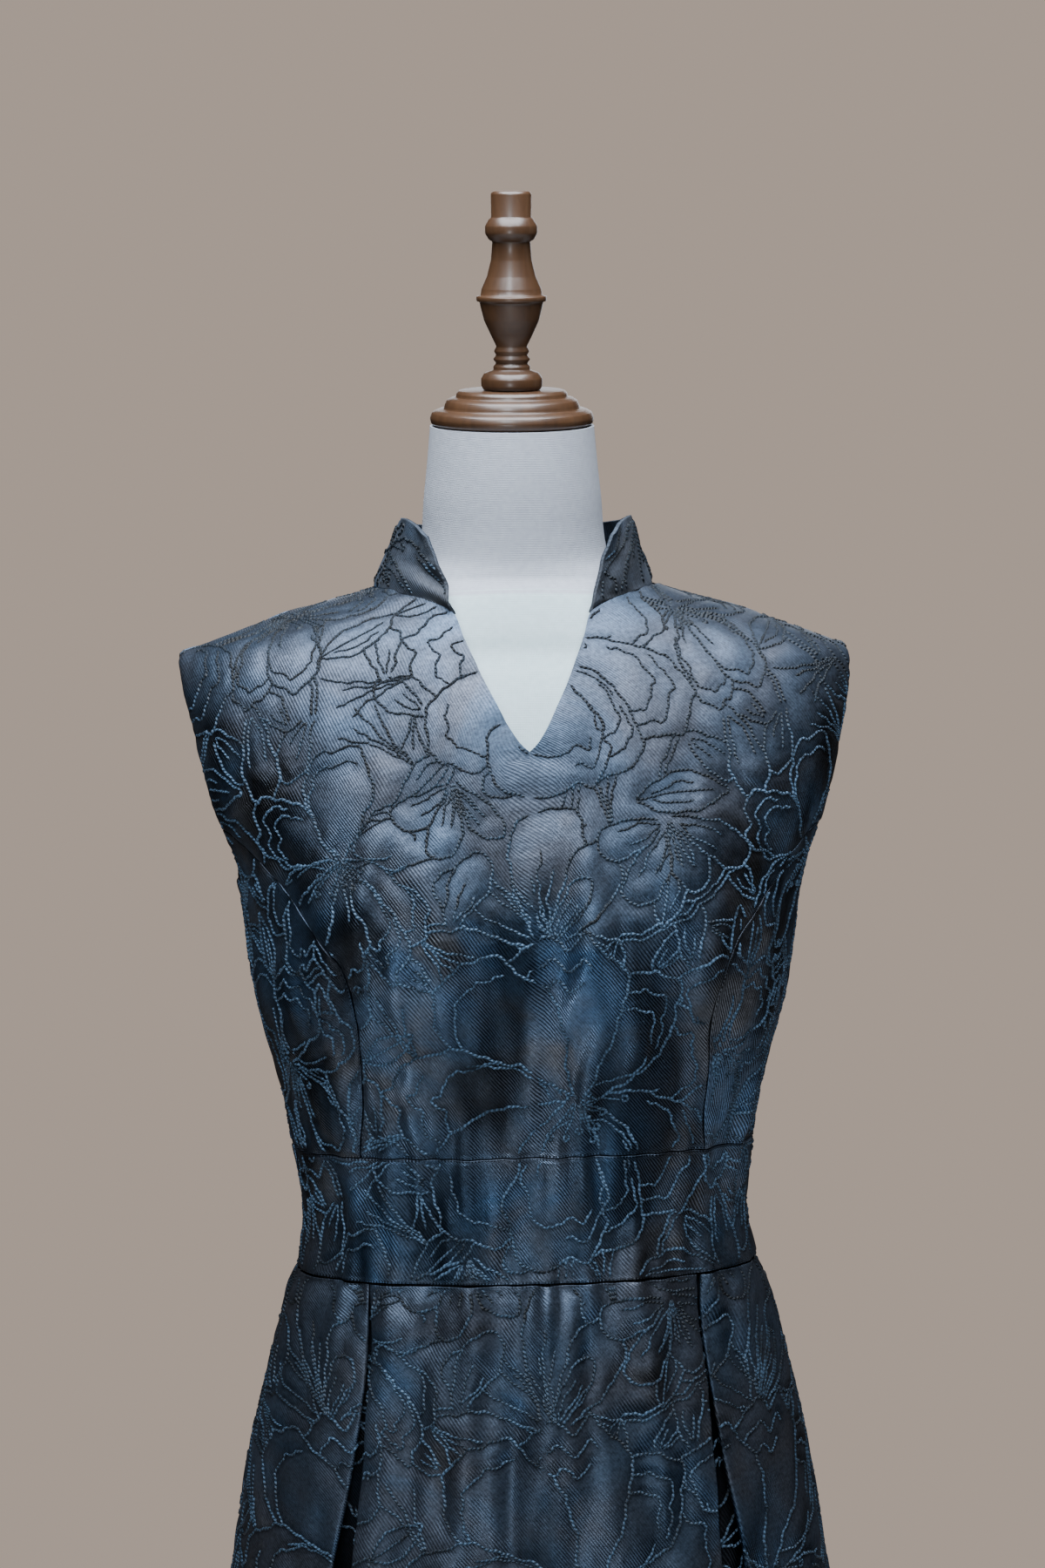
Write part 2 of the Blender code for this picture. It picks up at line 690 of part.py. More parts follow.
def skirt_half(height, back):
    """Middle line of half a skirt section on the +X side, in space."""
    points, inward, travel = section_line(height, back)
    start = SEAM_HALF_GAP if back else 0.0
    path = pleat_path(height, start, travel[-1])
    at, depth = path[:, 0], path[:, 1] + SKIRT_THICKNESS / 2
    place = np.stack([np.interp(at, travel, points[:, k]) for k in range(2)], axis=1)
    normal = np.stack([np.interp(at, travel, inward[:, k]) for k in range(2)], axis=1)
    normal /= np.linalg.norm(normal, axis=1, keepdims=True)
    return place + normal * depth[:, None]


def thickened(line, thickness, first_way, last_way):
    """Both faces of a wall that follows a line, mitred at its turns and squared to its two ends."""
    along = np.diff(line, axis=0)
    along /= np.linalg.norm(along, axis=1, keepdims=True)
    side = np.stack([-along[:, 1], along[:, 0]], axis=1)
    joint = np.vstack([side[:1], side[:-1] + side[1:], side[-1:]])
    joint /= np.linalg.norm(joint, axis=1, keepdims=True)
    mitre = np.concatenate([[1], np.clip((joint[1:-1] * side[1:]).sum(1), 0.6, 1), [1]])
    joint[0], joint[-1] = first_way, last_way
    offset = joint * (thickness / 2 / mitre)[:, None]
    return line + offset, line - offset


def build_skirt(back, side):
    """Front in one piece, or half of the back. Rows run from the hem up."""
    faces = []
    for height in SKIRT_LEVELS:
        half = skirt_half(height, back)
        if back:
            half[0, 0], half[-1, 1] = SEAM_HALF_GAP, SEAM_HALF_GAP
            one, two = thickened(half, SKIRT_THICKNESS, (0, 1), (1, 0))
        else:
            half[-1, 1] = -SEAM_HALF_GAP
            half[0, 0] = 0
            half = np.vstack([half[::-1] * (-1, 1), half[1:]])
            one, two = thickened(half, SKIRT_THICKNESS, (1, 0), (-1, 0))
        level = np.full((len(half), 1), height)
        flip = (side, 1, 1)
        faces.append((np.hstack([one, level]) * flip, np.hstack([two, level]) * flip))
    return np.array([f[0] for f in faces]), np.array([f[1] for f in faces])


def loft(name, rings, material_name):
    """A closed body through rings of the same number of points, with flat ends."""
    count = len(rings[0])
    faces = [tuple(range(count))[::-1], tuple((len(rings) - 1) * count + k for k in range(count))]
    for i in range(len(rings) - 1):
        for k in range(count):
            a, b = i * count + k, i * count + (k + 1) % count
            faces.append((a, b, b + count, a + count))
    return add_object(name, np.concatenate(rings), faces, material_name)


def build_form():
    """The linen-covered torso and neck, closed and smooth, with a flat foot and a tilted flat top."""
    width_ease, depth_ease = smooth(FORM_EASE, 1), smooth(FORM_EASE, 2)
    share = np.linspace(-1, 1, FORM_SEGMENTS, endpoint=False)
    heights = [0.740, 0.7425, 0.749, 0.762, 0.79, 0.82, 0.86, 0.90, 0.94, 0.975, 1.01, 1.04, 1.07, 1.10]
    heights += [1.13, 1.16, 1.19, 1.22, 1.25, 1.28, 1.31, 1.335, 1.352, 1.362, 1.369, 1.377, 1.386, 1.395, 1.402]
    rings = []
    for height in heights:
        level = np.full(len(share), height)
        side = np.sin(math.pi * share)[:, None] ** 2
        ease = width_ease(height) * side + depth_ease(height) * (1 - side)
        way = outward(share, level)
        if height < WAISTBAND_BOTTOM:
            way[:, 2] = 0
            way /= np.linalg.norm(way, axis=1, keepdims=True)
        rings.append(outside(share, level) - way * ease)
    for height, half_width, front, back, tilt in NECK_SECTIONS:
        angle = math.pi * share
        middle, reach = (back - front) / 2, (back + front) / 2
        x, y = half_width * np.sin(angle), -reach * np.cos(angle)
        lift = y * math.tan(math.radians(tilt))
        rings.append(np.stack([x, y + middle, height + lift], axis=1))
    loft("form_torso", rings, "linen")


def turned(name, profile, segments, place, tilt, material_name):
    """A turned piece that stands on a point, leaning forward by a tilt."""
    frame = Matrix.Translation(place) @ Matrix.Rotation(tilt, 4, "X")
    rings = []
    for height, radius in profile:
        angles = [2 * math.pi * k / segments for k in range(segments)]
        rings.append([frame @ Vector((radius * math.cos(a), radius * math.sin(a), height)) for a in angles])
    return loft(name, [np.array(ring) for ring in rings], material_name)


def build_stand():
    """Wooden neck cap, finial, pole, plate and base."""
    top_height, _, front, back, tilt = NECK_SECTIONS[-1]
    tilt = math.radians(tilt)
    up = Vector((0, -math.sin(tilt), math.cos(tilt)))
    neck_top = Vector((0, (back - front) / 2, top_height))
    cap_foot = neck_top + up * SEAT_GAP
    turned("neck_cap", CAP_PROFILE, CAP_SEGMENTS, cap_foot, tilt, "walnut")
    finial_foot = cap_foot + up * (CAP_PROFILE[-1][0] + SEAT_GAP)
    turned("neck_finial", FINIAL_PROFILE, FINIAL_SEGMENTS, finial_foot, tilt, "walnut")
    turned("stand_base", BASE_PROFILE, BASE_SEGMENTS, Vector((0, 0, 0)), 0, "walnut")
    pole_foot = BASE_PROFILE[-1][0] + SEAT_GAP
    plate_foot = FORM_EASE[0][0] - SEAT_GAP - PLATE_THICKNESS
    pole_top = plate_foot - SEAT_GAP
    stretch = (pole_top - pole_foot) / POLE_PROFILE[-1][0]
    pole = [(height * stretch, radius) for height, radius in POLE_PROFILE]
    turned("stand_pole", pole, POLE_SEGMENTS, Vector((0, 0, pole_foot)), 0, "walnut")
    plate = ((0, PLATE_RADIUS - 0.002), (0.002, PLATE_RADIUS), (PLATE_THICKNESS, PLATE_RADIUS))
    turned("stand_plate", plate, CAP_SEGMENTS, Vector((0, 0, plate_foot)), 0, "walnut")


def build_dress():
    panel_on_fold("bodice_front", build_bodice_front())
    side_front = build_side_front()
    panel("bodice_side_front_r", side_front)
    panel("bodice_side_front_l", mirrored(side_front))
    back = build_back()
    panel("bodice_back_r", back)
    panel("bodice_back_l", mirrored(back))
    panel("waistband_front", build_waistband(-0.5, 0.5, 22))
    panel("waistband_back_r", build_waistband(0.5, 1.0, 11))
    panel("waistband_back_l", mirrored(build_waistband(0.5, 1.0, 11)))
    wall("collar_r", "jacquard", build_collar(1))
    wall("collar_l", "jacquard", build_collar(-1))
    wall("skirt_front", "jacquard", build_skirt(False, 1))
    wall("skirt_back_r", "jacquard", build_skirt(True, 1))
    wall("skirt_back_l", "jacquard", build_skirt(True, -1))


def main():
    for old in list(bpy.data.objects):
        bpy.data.objects.remove(old)
    build_form()
    build_stand()
    build_dress()


main()
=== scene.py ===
"""Looks of a sleeveless a-line dress of floral jacquard on a linen dress form with turned wooden parts.

Metres, +Z up, in the part's own frame. The dress faces -Y. Sizes of the pattern are in millimetres.
"""

import itertools
import math

import bpy
import numpy as np
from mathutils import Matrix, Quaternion, Vector
from mathutils.kdtree import KDTree


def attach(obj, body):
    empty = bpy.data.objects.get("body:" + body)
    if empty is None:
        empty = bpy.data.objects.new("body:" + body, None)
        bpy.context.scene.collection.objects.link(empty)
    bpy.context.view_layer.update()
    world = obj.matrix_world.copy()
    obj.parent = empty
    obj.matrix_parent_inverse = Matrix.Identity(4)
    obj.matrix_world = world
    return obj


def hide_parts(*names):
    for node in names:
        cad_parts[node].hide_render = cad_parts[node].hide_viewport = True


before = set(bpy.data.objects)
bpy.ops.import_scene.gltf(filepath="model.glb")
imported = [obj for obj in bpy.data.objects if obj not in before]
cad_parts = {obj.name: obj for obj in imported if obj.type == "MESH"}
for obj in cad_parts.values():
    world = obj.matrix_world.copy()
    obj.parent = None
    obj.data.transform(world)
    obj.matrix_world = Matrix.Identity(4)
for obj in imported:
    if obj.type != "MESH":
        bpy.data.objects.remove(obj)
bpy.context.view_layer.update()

# The shape of the dress, as in the part

HEM_HEIGHT = 0.450
WAISTBAND_BOTTOM = 0.999
WAISTBAND_TOP = 1.072
UNDERARM_HEIGHT = 1.233
SHOULDER_TIP_HEIGHT = 1.3686
NECKLINE_HEIGHT = 1.407
# The distance of the cloth from the middle of the body, roughly
BODY_RADIUS = 0.15
# A share of the way round and a height, as metres
SHARE_TO_METRES = (0.45, 1.0)

# Height, half width, depth in front, depth behind, squareness
DRESS_SECTIONS = (
    (0.4500, 0.2400, 0.1880, 0.1880, 2.10),
    (0.5800, 0.2180, 0.1690, 0.1690, 2.10),
    (0.7000, 0.1980, 0.1520, 0.1520, 2.10),
    (0.8100, 0.1800, 0.1360, 0.1370, 2.15),
    (0.8550, 0.1730, 0.1290, 0.1300, 2.15),
    (0.8950, 0.1660, 0.1230, 0.1230, 2.15),
    (0.9300, 0.1580, 0.1170, 0.1150, 2.20),
    (0.9600, 0.1500, 0.1110, 0.1060, 2.20),
    (0.9850, 0.1430, 0.1055, 0.0960, 2.20),
    (0.9990, 0.1370, 0.1015, 0.0880, 2.20),
    (1.0300, 0.1325, 0.0990, 0.0840, 2.20),
    (1.0720, 0.1380, 0.1020, 0.0850, 2.20),
    (1.1200, 0.1480, 0.1090, 0.0900, 2.30),
    (1.1600, 0.1570, 0.1170, 0.0970, 2.40),
    (1.2000, 0.1625, 0.1240, 0.1030, 2.50),
    (1.2400, 0.1700, 0.1220, 0.1080, 2.65),
    (1.2800, 0.1870, 0.1140, 0.1085, 2.85),
    (1.3200, 0.1965, 0.1030, 0.1050, 2.90),
    (1.3500, 0.2015, 0.0900, 0.0990, 2.70),
    (1.3686, 0.2015, 0.0810, 0.0930, 2.40),
    (1.3730, 0.1880, 0.0785, 0.0910, 2.25),
    (1.3805, 0.1670, 0.0745, 0.0880, 2.10),
    (1.3910, 0.1400, 0.0700, 0.0830, 2.00),
    (1.3990, 0.1110, 0.0660, 0.0790, 2.00),
    (1.4070, 0.0840, 0.0620, 0.0750, 2.00),
    (1.4150, 0.0720, 0.0590, 0.0700, 2.00),
)
BUST_X, BUST_HEIGHT, BUST_SPREAD, BUST_FULLNESS = 0.088, 1.192, 0.046, 0.017

# Distance from the centre front, and height
PRINCESS_SEAM = (
    (0.0990, 1.0720),
    (0.0985, 1.1000),
    (0.1000, 1.1315),
    (0.1032, 1.1590),
    (0.1096, 1.1810),
    (0.1162, 1.1930),
    (0.1300, 1.2130),
    (0.1450, 1.2340),
    (0.1600, 1.2510),
    (0.1740, 1.2640),
)
# Share of the way round from the centre front, and height
ARMHOLE_EDGE = (
    (0.500, 1.2330),
    (0.470, 1.2362),
    (0.444, 1.2450),
    (0.424, 1.2640),
    (0.414, 1.2920),
    (0.420, 1.3200),
    (0.440, 1.3450),
    (0.470, 1.3610),
    (0.500, 1.3686),
)
PRINCESS_TOP_SHARE = 0.424
# Distance from the centre front, and height
NECKLINE = (
    (0.0000, 1.3050),
    (0.0040, 1.3085),
    (0.0100, 1.3170),
    (0.0172, 1.3310),
    (0.0240, 1.3450),
    (0.0295, 1.3585),
    (0.0350, 1.3720),
    (0.0400, 1.3865),
    (0.0560, 1.3950),
    (0.0700, 1.4000),
    (0.0790, 1.4035),
)
COLLAR_END_X = 0.0400
# Share of the way to the centre back, height of the top edge above the foot, lean inward
COLLAR_RISE = (
    (0.00, 0.0385, 0.0010),
    (0.12, 0.0440, 0.0080),
    (0.35, 0.0405, 0.0165),
    (0.70, 0.0410, 0.0165),
    (1.00, 0.0420, 0.0150),
)
COLLAR_SLANT = 0.085
# How far the collar's halves stay off the centre back line
CENTRE_GAP = 0.0004
# The way of each side along X, and the end of its pieces' names
SIDES = ((1, "r"), (-1, "l"))
# Height, inner fold edge from the centre, opening, depth of each return, spacing of the layers
PLEAT_LEVELS = (
    (0.450, 0.1260, 0.0420, 0.046, 0.0095),
    (0.580, 0.1170, 0.0300, 0.045, 0.0075),
    (0.700, 0.1100, 0.0190, 0.043, 0.0058),
    (0.810, 0.1040, 0.0105, 0.041, 0.0042),
    (0.880, 0.1000, 0.0058, 0.039, 0.0032),
    (0.930, 0.0975, 0.0032, 0.037, 0.0025),
    (0.999, 0.0950, 0.0018, 0.034, 0.0018),
)
# Share of the way round, width as such a share, and how far it stands out at the hem
SKIRT_FLUTES = (
    (0.00, 0.10, 0.004),
    (0.335, 0.060, 0.011),
    (0.425, 0.035, -0.005),
    (0.665, 0.060, 0.011),
    (0.575, 0.035, -0.005),
    (1.00, 0.10, 0.004),
)


def unit(vectors):
    """The same directions with length 1."""
    return vectors / np.maximum(np.linalg.norm(vectors, axis=-1, keepdims=True), 1e-12)


def sideways(line):
    """Unit vectors to the left of a flat line."""
    along = unit(np.gradient(line, axis=0))
    return np.stack([-along[:, 1], along[:, 0]], axis=1)


def along_at(at, travel, points):
    """Points at distances along a polyline."""
    return np.stack([np.interp(at, travel, column) for column in points.T], axis=1)


def ramp(value, start, length):
    """0 up to the start, then rising to 1 over the length. A length below 0 counts downward."""
    return np.clip((value - start) / length, 0, 1)


def smooth(table, column):
    """A smooth function through one column of a table whose first column rises, with no overshoot."""
    xs = np.array([row[0] for row in table], float)
    ys = np.array([row[column] for row in table], float)
    steps = np.diff(xs)
    slopes = np.diff(ys) / steps
    tangents = np.empty_like(ys)
    tangents[0], tangents[-1] = slopes[0], slopes[-1]
    before, after = slopes[:-1], slopes[1:]
    same_way = before * after > 0
    safe = np.where(same_way, before + after, 1.0)
    tangents[1:-1] = np.where(same_way, 2 * before * after / safe, 0.0)

    def value(x):
        x = np.clip(np.asarray(x, float), xs[0], xs[-1])
        i = np.clip(np.searchsorted(xs, x) - 1, 0, len(xs) - 2)
        t = (x - xs[i]) / steps[i]
        rise = ys[i] * (1 + 2 * t) * (1 - t) ** 2 + ys[i + 1] * t * t * (3 - 2 * t)
        bend = tangents[i] * t * (1 - t) ** 2 - tangents[i + 1] * t * t * (1 - t)
        return rise + steps[i] * bend

    return value


half_width_at = smooth(DRESS_SECTIONS, 1)
front_depth_at = smooth(DRESS_SECTIONS, 2)
back_depth_at = smooth(DRESS_SECTIONS, 3)
squareness_at = smooth(DRESS_SECTIONS, 4)


def bust(x, height):
    spread = 2 * BUST_SPREAD**2
    sides = [np.exp(-((x - side * BUST_X) ** 2 + (height - BUST_HEIGHT) ** 2) / spread) for side in (-1, 1)]
    return BUST_FULLNESS * (sides[0] + sides[1])


def flutes(share, height):
    fall = ramp(height, WAISTBAND_BOTTOM, HEM_HEIGHT - WAISTBAND_BOTTOM)
    around = np.abs(share)
    waves = sum(depth * np.exp(-(((around - place) / width) ** 2)) for place, width, depth in SKIRT_FLUTES)
    return fall**1.5 * waves


def outside(share, height):
    """The outside of the dress. share runs from 0 at the centre front, 0.5 at the side seam, to 1 at the
    back, and is negative on the -X side."""
    share, height = np.broadcast_arrays(np.asarray(share, float), np.asarray(height, float))
    angle = math.pi * share
    power = 2 / squareness_at(height)
    sine, cosine = np.sin(angle), np.cos(angle)
    out = flutes(share, height)
    x = (half_width_at(height) + out) * np.sign(sine) * np.abs(sine) ** power
    depth = np.where(cosine > 0, front_depth_at(height), back_depth_at(height)) + out
    y = -depth * np.sign(cosine) * np.where(np.abs(cosine) < 1e-9, 0, np.abs(cosine)) ** power
    y = y - bust(x, height) * np.clip(cosine * 3, 0, 1)
    return np.stack([x, y, height], axis=-1)


def outward(share, height):
    step = 1e-4
    around = outside(share + step, height) - outside(share - step, height)
    up = outside(share, height + step) - outside(share, height - step)
    return unit(np.cross(around, up))


def share_at(x, height):
    ratio = np.clip(np.asarray(x, float) / half_width_at(height), 0, 1)
    return np.arcsin(ratio ** (squareness_at(height) / 2)) / math.pi


SIDE_HEIGHTS = np.linspace(HEM_HEIGHT, 1.415, 3000)
SIDE_STEPS = np.hypot(np.diff(SIDE_HEIGHTS), np.diff(half_width_at(SIDE_HEIGHTS)))
SIDE_LENGTHS = np.concatenate([[0], np.cumsum(SIDE_STEPS)])


def length_at(height):
    return np.interp(height, SIDE_HEIGHTS, SIDE_LENGTHS)


def height_of(length):
    return np.interp(length, SIDE_LENGTHS, SIDE_HEIGHTS)


def flat(points):
    points = np.asarray(points, float)
    return np.stack([points[:, 0], length_at(points[:, 1])], axis=1)


def travelled(points):
    return np.concatenate([[0], np.cumsum(np.linalg.norm(np.diff(points, axis=0), axis=1))])


def resample(points, counts, corners=()):
    """Evenly spaced points along a polyline, with a point at each corner."""
    points = np.asarray(points, float)
    stops = [0, *corners, len(points) - 1]
    made = []
    for first, last, count in zip(stops[:-1], stops[1:], counts):
        piece = points[first : last + 1]
        travel = travelled(piece * SHARE_TO_METRES)
        column = along_at(np.linspace(0, travel[-1], count + 1), travel, piece)
        made.append(column[1:] if made else column)
    return np.concatenate(made)


def dense(table, count=60):
    rows = np.array(table, float)
    travel = travelled(rows)
    keyed = [(t, *row) for t, row in zip(travel, rows)]
    at = np.linspace(0, travel[-1], count)
    return np.stack([smooth(keyed, 1)(at), smooth(keyed, 2)(at)], axis=1)


def blended(bottom, top, left, right):
    """Points that fill a four-sided outline, rows from bottom to top."""
    s = np.linspace(0, 1, len(bottom))[None, :, None]
    t = np.linspace(0, 1, len(left))[:, None, None]
    bottom, top, left, right = bottom[None], top[None], left[:, None], right[:, None]
    ruled = (1 - t) * bottom + t * top + (1 - s) * left + s * right
    low = (1 - s) * bottom[:, :1] + s * bottom[:, -1:]
    high = (1 - s) * top[:, :1] + s * top[:, -1:]
    return ruled - ((1 - t) * low + t * high)


def relaxed(grid):
    """Moves the inner points of a grid until its lines run smoothly between the edges, without folding."""
    p = grid * SHARE_TO_METRES
    for _ in range(400):
        across = (p[1:-1, 2:] - p[1:-1, :-2]) / 2
        up = (p[2:, 1:-1] - p[:-2, 1:-1]) / 2
        a = (up**2).sum(-1, keepdims=True)
        b = (across * up).sum(-1, keepdims=True)
        c = (across**2).sum(-1, keepdims=True)
        twist = (p[2:, 2:] - p[2:, :-2] - p[:-2, 2:] + p[:-2, :-2]) / 4
        sides = a * (p[1:-1, 2:] + p[1:-1, :-2]) + c * (p[2:, 1:-1] + p[:-2, 1:-1])
        p[1:-1, 1:-1] = (sides - 2 * b * twist) / (2 * (a + c))
    return p / SHARE_TO_METRES


# Fine grids of the pieces

# Steps of the fine grid for each coarse one
FINE = 7


def curved(rows, factor):
    """A smooth curve through rows, with factor steps for each one."""
    p = np.concatenate([2 * rows[:1] - rows[1:2], rows, 2 * rows[-1:] - rows[-2:-1]])
    t = (np.arange(factor) / factor).reshape(-1, *[1] * (rows.ndim - 1))
    made = []
    for a, b, c, d in zip(p, p[1:], p[2:], p[3:]):
        bend = (2 * a - 5 * b + 4 * c - d) * t**2 + (3 * b - a - 3 * c + d) * t**3
        made.append(0.5 * (2 * b + (c - a) * t + bend))
    return np.concatenate([*made, rows[-1:]])


def curved_grid(grid, factor):
    across = np.swapaxes(curved(np.swapaxes(grid, 0, 1), factor), 0, 1)
    return curved(across, factor)


def filled(edges):
    """A fine grid with exact edges. edges(k) gives bottom, top, left and right with k times the steps."""
    coarse = relaxed(blended(*edges(1)))
    fine = curved_grid(coarse, FINE)
    bottom, top, left, right = edges(FINE)
    return fine + blended(bottom - fine[0], top - fine[-1], left - fine[:, 0], right - fine[:, -1])


def armhole_split():
    return [row for row in ARMHOLE_EDGE if row[0] == PRINCESS_TOP_SHARE][0]


def princess_curve():
    rows = dense(PRINCESS_SEAM)
    points = np.stack([share_at(rows[:, 0], rows[:, 1]), rows[:, 1]], axis=1)
    points[-1] = armhole_split()
    return flat(points)


def armhole_curve():
    return flat(dense(ARMHOLE_EDGE))


def split_index(curve):
    target = flat([armhole_split()])[0]
    return int(np.argmin(np.abs(curve[: len(curve) // 2, 1] - target[1])))


def neckline_curve():
    rows = dense(NECKLINE)
    points = np.stack([share_at(rows[:, 0], rows[:, 1]), rows[:, 1]], axis=1)
    end = int(np.argmin(np.abs(rows[:, 0] - COLLAR_END_X)))
    return flat(np.vstack([points, [0.5, NECKLINE_HEIGHT]])), end


def front_edges(k):
    princess = resample(princess_curve(), [11 * k])
    arm = armhole_curve()
    upper = resample(arm[split_index(arm) :], [9 * k])
    upper[0] = princess[-1]
    right = np.vstack([princess, upper[1:]])
    neckline, end = neckline_curve()
    centre = resample(np.array([[0, length_at(WAISTBAND_TOP)], neckline[0]]), [10 * k])
    left = np.vstack([centre, resample(neckline, [6 * k, 4 * k], [end])[1:]])
    shoulder = flat([(0.5, NECKLINE_HEIGHT), (0.5, SHOULDER_TIP_HEIGHT)])
    return np.linspace(left[0], right[0], 7 * k + 1), resample(shoulder, [7 * k]), left, right


def side_front_edges(k):
    princess = resample(princess_curve(), [11 * k])
    arm = armhole_curve()
    top = resample(arm[: split_index(arm) + 1][::-1], [5 * k])
    top[0] = princess[-1]
    side = resample(flat([(0.5, WAISTBAND_TOP), (0.5, UNDERARM_HEIGHT)]), [11 * k])
    return np.linspace(princess[0], side[0], len(top)), top, princess, side


def back_edges(k):
    arm = armhole_curve() * (-1, 1) + (1, 0)
    side = resample(flat([(0.5, WAISTBAND_TOP), (0.5, UNDERARM_HEIGHT)]), [8 * k])
    left = np.vstack([side, resample(arm, [9 * k])[1:]])
    shoulder = flat([(0.5, SHOULDER_TIP_HEIGHT), (0.5, NECKLINE_HEIGHT)])
    centre = flat([(1.0, WAISTBAND_TOP), (1.0, NECKLINE_HEIGHT)])
    neck = flat([(1.0 - 0.05 * j, NECKLINE_HEIGHT) for j in range(1, 11)])
    right = resample(np.vstack([centre, neck]), [13 * k, 4 * k], [1])
    return np.linspace(left[0], right[0], 7 * k + 1), resample(shoulder, [7 * k]), left, right


def waistband_grid(first, last, steps):
    low, high = flat([(0, WAISTBAND_BOTTOM), (0, WAISTBAND_TOP)])[:, 1]
    share, length = np.meshgrid(np.linspace(first, last, steps + 1), np.linspace(low, high, 26))
    return np.stack([share, length], axis=-1)


# Listed creases

# Troughs and ridges on the outside: two ends as (signed x, height), width and depth in mm. They lie on the
# front. A depth above 0 stands out.
FRONT_CREASES = (
    (0.165, 1.235, 0.130, 1.160, 9, -2.0),
    (0.150, 1.180, 0.125, 1.085, 8, 2.4),
    (0.135, 1.165, 0.118, 1.080, 7, -2.2),
    (0.160, 1.150, 0.140, 1.078, 8, -2.0),
    (-0.160, 1.225, -0.118, 1.160, 9, -1.8),
    (-0.150, 1.150, -0.128, 1.078, 8, -1.8),
    (-0.138, 1.140, -0.120, 1.080, 7, 1.6),
    (0.060, 1.330, 0.150, 1.255, 12, -1.4),
    (-0.070, 1.325, -0.150, 1.255, 12, -1.2),
    (-0.086, 1.245, -0.066, 1.190, 11, -3.0),
    (-0.022, 1.262, -0.002, 1.185, 12, -2.8),
    (0.056, 1.240, 0.074, 1.135, 13, -3.2),
    (-0.088, 1.165, -0.070, 1.095, 10, -2.6),
    (-0.002, 1.180, 0.006, 1.080, 11, -3.0),
    (-0.044, 1.215, -0.034, 1.100, 18, 3.0),
    (0.034, 1.240, 0.040, 1.130, 15, 2.6),
    (0.100, 1.215, 0.098, 1.110, 11, 2.2),
    (0.040, 1.120, 0.030, 1.076, 8, -1.8),
    (-0.062, 1.070, -0.070, 1.003, 9, -2.0),
    (-0.036, 1.068, -0.030, 1.004, 12, 1.8),
    (-0.010, 1.070, 0.000, 1.002, 8, -2.0),
    (0.028, 1.068, 0.036, 1.004, 12, 2.0),
    (0.062, 1.070, 0.070, 1.003, 9, -2.2),
    (-0.105, 1.060, -0.095, 1.010, 8, 1.6),
    (0.100, 1.062, 0.112, 1.006, 9, 1.6),
    (-0.080, 1.052, 0.010, 1.046, 7, -0.7),
    (0.020, 1.030, 0.110, 1.040, 6, -0.8),
)
# The back repeats ten of the front's folds, less deep
BACK_CREASES = FRONT_CREASES[3:13]


def crease(x, height, rows):
    """How far creases move the cloth out, in metres."""
    total = np.zeros(np.broadcast(x, height).shape)
    for x1, z1, x2, z2, width, depth in rows:
        dx, dz = x2 - x1, z2 - z1
        t = np.clip(((x - x1) * dx + (height - z1) * dz) / (dx * dx + dz * dz), 0, 1)
        gap = np.hypot(x - x1 - t * dx, height - z1 - t * dz)
        fade = np.sin(math.pi * np.clip(t * 0.86 + 0.07, 0, 1)) ** 0.8
        total += depth * 0.001 * fade * np.exp(-((gap / (width * 0.001)) ** 2))
    return total


def soft_folds(points, seed, wide, tall, size):
    """Uneven soft folds in metres, about wide across and tall in height, the same on neighbouring pieces."""
    rng = np.random.default_rng(seed)
    around = np.arctan2(points[..., 0], -points[..., 1]) * BODY_RADIUS
    total = np.zeros(around.shape)
    for _ in range(36):
        a, b = rng.normal(0, 2 * math.pi / wide / 1.3), rng.normal(0, 2 * math.pi / tall / 1.3)
        total += np.cos(a * around + b * points[..., 2] + rng.uniform(0, 2 * math.pi))
    # the two sides meet on the centre back line
    meet = ramp(np.abs(around), math.pi * BODY_RADIUS, -0.03)
    return size * total / math.sqrt(18) * meet * meet * (3 - 2 * meet)


def soft_relief(points):
    """The unevenness of all the cloth, in metres. The chest, the shoulders and the sides lie smoother."""
    high = points[..., 2]
    loose = 1 - 0.66 * ramp(high, 1.19, 0.08) - 0.22 * ramp(high, 1.30, 0.04) - 0.3 * ramp(high, 0.98, -0.05)
    loose = loose * (1 - 0.6 * np.clip(np.abs(points[..., 0]) / half_width_at(high), 0, 1) ** 5)
    small = 0.0004 + 0.0004 * ramp(high, 0.99, 0.02)
    broad = soft_folds(points, 3, 0.050, 0.13, 0.0022)
    return (broad + soft_folds(points, 6, 0.026, 0.070, 1.0) * small) * loose


# The pattern

# One repeat of the print, where it starts, the step of its maps, and the narrowest gap that is filled
TILE = np.array([296.0, 278.0])
ORIGIN = np.array([-140.0, 182.0])
PITCH = 1.5
SMALLEST_GAP = 9.5


def spline(points, step=1.9):
    made = curved(np.array(points, float), 12)
    travel = travelled(made)
    return along_at(np.linspace(0, travel[-1], max(3, int(travel[-1] / step) + 1)), travel, made)


def placed(points, place, turn, bend=0.0):
    """Points laid along +x, bent by so much for each mm, turned by degrees and moved to their place."""
    p = np.array(points, float)
    angle = bend * p[:, 0]
    x, y = p[:, 0], 0 * p[:, 0]
    if abs(bend) > 1e-9:
        x, y = np.sin(angle) / bend, (1 - np.cos(angle)) / bend
    x, y = x - p[:, 1] * np.sin(angle), y + p[:, 1] * np.cos(angle)
    c, s = math.cos(math.radians(turn)), math.sin(math.radians(turn))
    return np.stack([place[0] + c * x - s * y, place[1] + s * x + c * y], axis=1)


